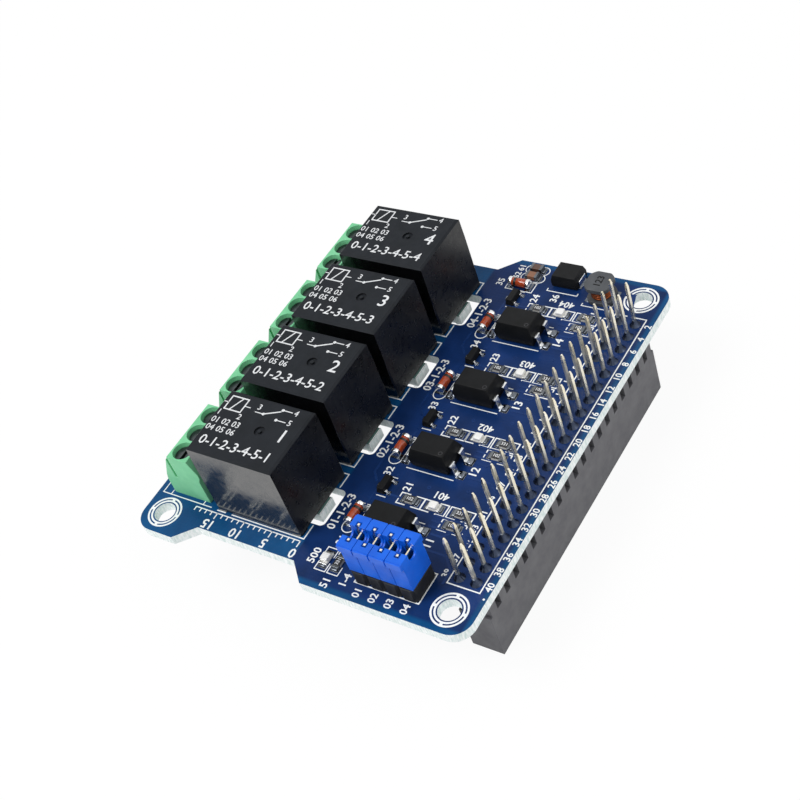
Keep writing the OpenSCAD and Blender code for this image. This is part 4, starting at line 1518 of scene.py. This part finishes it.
@dataclass
class SmallParts:
    """Transistors, diodes, chips and lamps between the relays and the header."""

    def build(self) -> None:
        """Builds every small part."""
        rounded_node("transistors", Finishes.EPOXY, 0.06, "chip_plastic")
        rounded_node("transistor_leads", Finishes.TIN, 0.05, "tinned_metal")
        self._diodes()
        self._resistors()
        self._capacitors()
        self._lamps()
        LOG.info("small parts: transistors, diodes, chips and lamps")

    def _diodes(self) -> None:
        """Glass bodies with a cathode ring near their -X or -Y end, between round metal caps."""
        glass, bands = Draft(), Draft()
        for block in solids("diode_bodies"):
            length, radius = block.length, block.size.z / 2
            start = block.centre - block.along * length / 2
            bulge = radius - 0.02
            shoulder = bulge * 0.93
            flank = [(shoulder, 0), (bulge, 0.25), (bulge, length - 0.25), (shoulder, length)]
            glass.lathe([(0, 0), *flank, (0, length)], start, axis=block.along)
            inner, outer = radius - 0.06, radius + 0.005
            bands.lathe([(inner, 0.35), (outer, 0.35), (outer, 0.75), (inner, 0.75)], start, axis=block.along)
        looks = [Finishes.DIODE_GLASS]
        glass.piece("diode_glass", looks, slot="diode_glass", stands_for=("diode_bodies",), smooth=50)
        bands.piece("diode_bands", [Finishes.BAND], smooth=50)
        rounded_node("diode_terminals", Finishes.TIN, 0.06, "tinned_metal")

    def _chip_ends(self, draft: Draft, block: Block) -> None:
        """Adds the two plated ends of a chip, a little proud of it."""
        cap, proud = 0.4, 0.01
        for end in SIDES:
            middle = block.centre + block.along * end * (block.length / 2 - cap / 2)
            half = block.along * (cap / 2 + proud) + block.across * (block.width / 2 + proud)
            rise = block.size.z / 2 + proud
            draft.slab(middle, half, middle.z - rise, middle.z + rise, 0.06)

    def _chip_core(
        self, draft: Draft, block: Block, low: float, high: float, inset: float, bevel: float
    ) -> None:
        """Adds a chip's body between its ends.

        Args:
            draft: the mesh that takes it.
            block: the chip.
            low: how far above the chip's underside it starts.
            high: how far above it ends.
            inset: how much each side is narrower than the chip.
            bevel: width of its rounded edges.
        """
        half = block.along * (block.length / 2 - 0.12) + block.across * (block.width / 2 - inset)
        draft.slab(block.centre, half, block.low.z + low, block.low.z + high, bevel)

    def _resistors(self) -> None:
        """Ceramic bodies with dark overglaze, plated ends and a plain code."""
        ends, bodies, glaze, marks = Draft(), Draft(), Draft(), Draft()
        ink = 0.012
        for index, block in enumerate(solids("resistors")):
            tall = block.size.z
            self._chip_ends(ends, block)
            self._chip_core(bodies, block, 0.03, tall - 0.09, 0.03, 0.03)
            self._chip_core(glaze, block, tall - 0.1, tall - 0.01, 0.05, 0.03)
            turn = Turn.UP if block.upright else Turn.BACK
            marks.digits("102" if index % 3 else "331", 0.52, block.centre[:2], turn, block.high.z - ink, ink)
        ends.piece("resistor_ends", [Finishes.DULL_TIN], slot="tinned_metal")
        bodies.piece("resistor_ceramic", [Finishes.CERAMIC], slot="resistor_body", stands_for=("resistors",))
        glaze.piece("resistor_glaze", [Finishes.RESISTOR], slot="resistor_body")
        marks.piece("resistor_marks", [Finishes.PAD_PRINT])

    def _capacitors(self) -> None:
        """One dark and one tan capacitor with plated ends."""
        ends = Draft()
        blocks = sorted(solids("capacitors"), key=lambda block: block.centre.x)
        looks = (Finishes.CAPACITOR_DARK, Finishes.CAPACITOR)
        for number, (block, finish) in enumerate(zip(blocks, looks), 1):
            self._chip_ends(ends, block)
            body = Draft()
            self._chip_core(body, block, 0.04, block.size.z - 0.04, 0.04, 0.08)
            # The first body stands for the node that holds both.
            replaced = ("capacitors",) if number == 1 else ()
            body.piece(f"capacitor_body_{number}", [finish], slot="capacitor_body", stands_for=replaced)
        ends.piece("capacitor_ends", [Finishes.DULL_TIN], slot="tinned_metal")

    def _lamps(self) -> None:
        """White carriers with a clear lens over a small chip, and plated ends."""
        carriers, lenses, ends, dies = Draft(), Draft(), Draft(), Draft()
        for block in solids("leds"):
            along, across, middle, base = block.along, block.across, block.centre, block.low.z
            half = along * block.length / 2 + across * block.width / 2
            carriers.slab(middle, half, base + 0.02, base + 0.34, 0.04)
            lenses.slab(middle, half - along * 0.42 - across * 0.03, base + 0.33, block.high.z, 0.12, 3)
            dies.slab(middle, (along + across) * 0.15, base + 0.33, base + 0.47, 0.02, 1)
            for end in SIDES:
                at = middle + along * end * (block.length / 2 - 0.2)
                part = along * 0.21 + across * (block.width / 2 + 0.01)
                ends.slab(at, part, base, base + 0.37, 0.04)
        carriers.piece("lamp_carriers", [Finishes.CARRIER], slot="lamp_resin", stands_for=("leds",))
        lenses.piece("lamp_lenses", [Finishes.LENS], slot="lamp_resin", smooth=50)
        dies.piece("lamp_dies", [Finishes.CAPACITOR])
        ends.piece("lamp_ends", [Finishes.PAD], slot="tinned_metal")


@dataclass
class PowerParts:
    """The rectifier and the wound inductor at the -X end."""

    def build(self) -> None:
        """Builds both parts."""
        rounded_node("rectifier", Finishes.EPOXY, 0.09, "chip_plastic")
        rounded_node("inductor_core", Finishes.FERRITE, 0.08, "ferrite")
        core = node_block("inductor_core")
        marks = Draft()
        marks.digits("123", 1.1, core.centre[:2], Turn.BACK, core.high.z - INK_SINK, FAINT_INK_T)
        marks.piece("inductor_figures", [Finishes.EPOXY])
        dress("inductor_winding", Finishes.WIRE)
        LOG.info("power parts: rectifier and inductor")


# ---- The studio ----


@dataclass
class Studio:
    """Pale floor, soft light and the camera, which looks at the board's top from a distance in mm."""

    azimuth: float = 136.975
    elevation: float = 43.758
    roll: float = -21.990
    distance: float = 212.443
    aim: Point = (-0.693, 0.802)
    lens: float = 65.667
    floor_size: float = 4.0
    floor_glow: float = 0.93
    room_light: float = 0.5

    def build(self) -> None:
        """Sets up everything round the part."""
        scene = bpy.context.scene
        scene.view_settings.view_transform = "Standard"
        self._floor()
        self._world(scene)
        self._lamps(scene)
        self._camera(scene)
        LOG.info("studio: floor, world, lamps and camera")

    def _seen(self, tree: bpy.types.NodeTree, *kinds: str) -> Socket:
        """Tells rays of some kinds from the rest.

        Args:
            tree: node tree that takes the nodes.
            kinds: the kinds, as outputs of the light path.

        Returns:
            1 for a ray of one of the kinds, else 0.
        """
        rays = add_node(tree, "ShaderNodeLightPath").outputs
        seen = rays[kinds[0]]
        for kind in kinds[1:]:
            either = add_node(
                tree, "ShaderNodeMath", settings={"operation": "MAXIMUM"}, links={0: seen, 1: rays[kind]}
            )
            seen = either.outputs[0]
        return seen

    def _floor(self) -> None:
        """Wide pale floor just under the socket, which looks white and takes soft shadows."""
        place = Matrix.Translation((0, 0, CAD_BOUNDS[0][2]))
        shape = bmesh.new()
        bmesh.ops.create_grid(shape, x_segments=1, y_segments=1, size=self.floor_size / 2, matrix=place)
        data = bpy.data.meshes.new("floor")
        shape.to_mesh(data)
        shape.free()
        floor = bpy.data.objects.new("floor", data)
        bpy.context.scene.collection.objects.link(floor)
        material = bpy.data.materials.new("matt_white_floor")
        material.use_nodes = True
        tree = material.node_tree
        tree.nodes.clear()
        paper = add_node(tree, "ShaderNodeBsdfDiffuse", values={"Color": linear("#f8f8f8")})
        glow = add_node(tree, "ShaderNodeEmission", values={"Color": linear("#ffffff"), "Strength": 1.0})
        seen = self._seen(tree, "Is Camera Ray", "Is Glossy Ray")
        share = add_node(
            tree, "ShaderNodeMath", settings={"operation": "MULTIPLY"},
            values={1: self.floor_glow}, links={0: seen},
        )
        mix = add_node(
            tree, "ShaderNodeMixShader", links={0: share.outputs[0], 1: paper.outputs[0], 2: glow.outputs[0]}
        )
        add_node(tree, "ShaderNodeOutputMaterial", links={"Surface": mix.outputs[0]})
        data.materials.append(material)

    def _world(self, scene: bpy.types.Scene) -> None:
        """Even light that looks white and lights softly.

        Args:
            scene: the scene.
        """
        world = bpy.data.worlds.new("white_room")
        world.use_nodes = True
        tree = world.node_tree
        tree.nodes.clear()
        seen = self._seen(tree, "Is Camera Ray", "Is Glossy Ray", "Is Transmission Ray")
        strength = add_node(
            tree, "ShaderNodeMapRange",
            values={"To Min": self.room_light, "To Max": 1.0}, links={"Value": seen},
        )
        back = add_node(
            tree, "ShaderNodeBackground",
            values={"Color": linear("#ffffff")}, links={"Strength": strength.outputs[0]},
        )
        add_node(tree, "ShaderNodeOutputWorld", links={"Surface": back.outputs[0]})
        scene.world = world

    def _lamps(self, scene: bpy.types.Scene) -> None:
        """Large key lamp from +X -Y and a weaker one from above the header."""
        for name, place, size, watts in (
            ("key", (0.42, -0.36, 0.86), 0.5, 6.4),
            ("fill", (-0.15, 0.7, 0.6), 0.8, 2.6),
        ):
            data = bpy.data.lights.new(name, "AREA")
            data.shape = "SQUARE"
            data.size = size
            data.energy = watts
            lamp = bpy.data.objects.new(name, data)
            lamp.location = place
            lamp.rotation_euler = Vector(place).to_track_quat("Z", "Y").to_euler()
            scene.collection.objects.link(lamp)

    def _camera(self, scene: bpy.types.Scene) -> None:
        """Camera on its azimuth and elevation, rolled about its own line of sight.

        Args:
            scene: the scene.
        """
        az, el, roll = (math.radians(v) for v in (self.azimuth, self.elevation, self.roll))
        back = Vector((math.sin(az) * math.cos(el), -math.cos(az) * math.cos(el), math.sin(el)))
        right = Vector((math.cos(az), math.sin(az), 0))
        up = back.cross(right)
        turned_right = right * math.cos(roll) + up * math.sin(roll)
        turned_up = up * math.cos(roll) - right * math.sin(roll)
        board_top = Vector((0, 0, node_block("circuit_board").high.z))
        eye = board_top + back * self.distance + turned_right * self.aim[0] + turned_up * self.aim[1]
        data = bpy.data.cameras.new("camera")
        data.lens = self.lens
        data.sensor_width = 36
        data.clip_start = 0.005
        camera = bpy.data.objects.new("camera", data)
        turn = Matrix((turned_right, turned_up, back)).transposed().to_4x4()
        camera.matrix_world = Matrix.Translation(eye * MM) @ turn
        scene.collection.objects.link(camera)
        scene.camera = camera


def main() -> None:
    """Builds the part and its studio in order."""
    logging.basicConfig(level=logging.INFO, format="%(name)s: %(message)s")
    for part in (
        Board(), Silkscreen(), SolderWork(), Relays(), TerminalBlocks(), JumperBlock(),
        PinHeader(), Optocouplers(), SmallParts(), PowerParts(), Studio(),
    ):
        part.build()


if __name__ == "__main__":
    main()
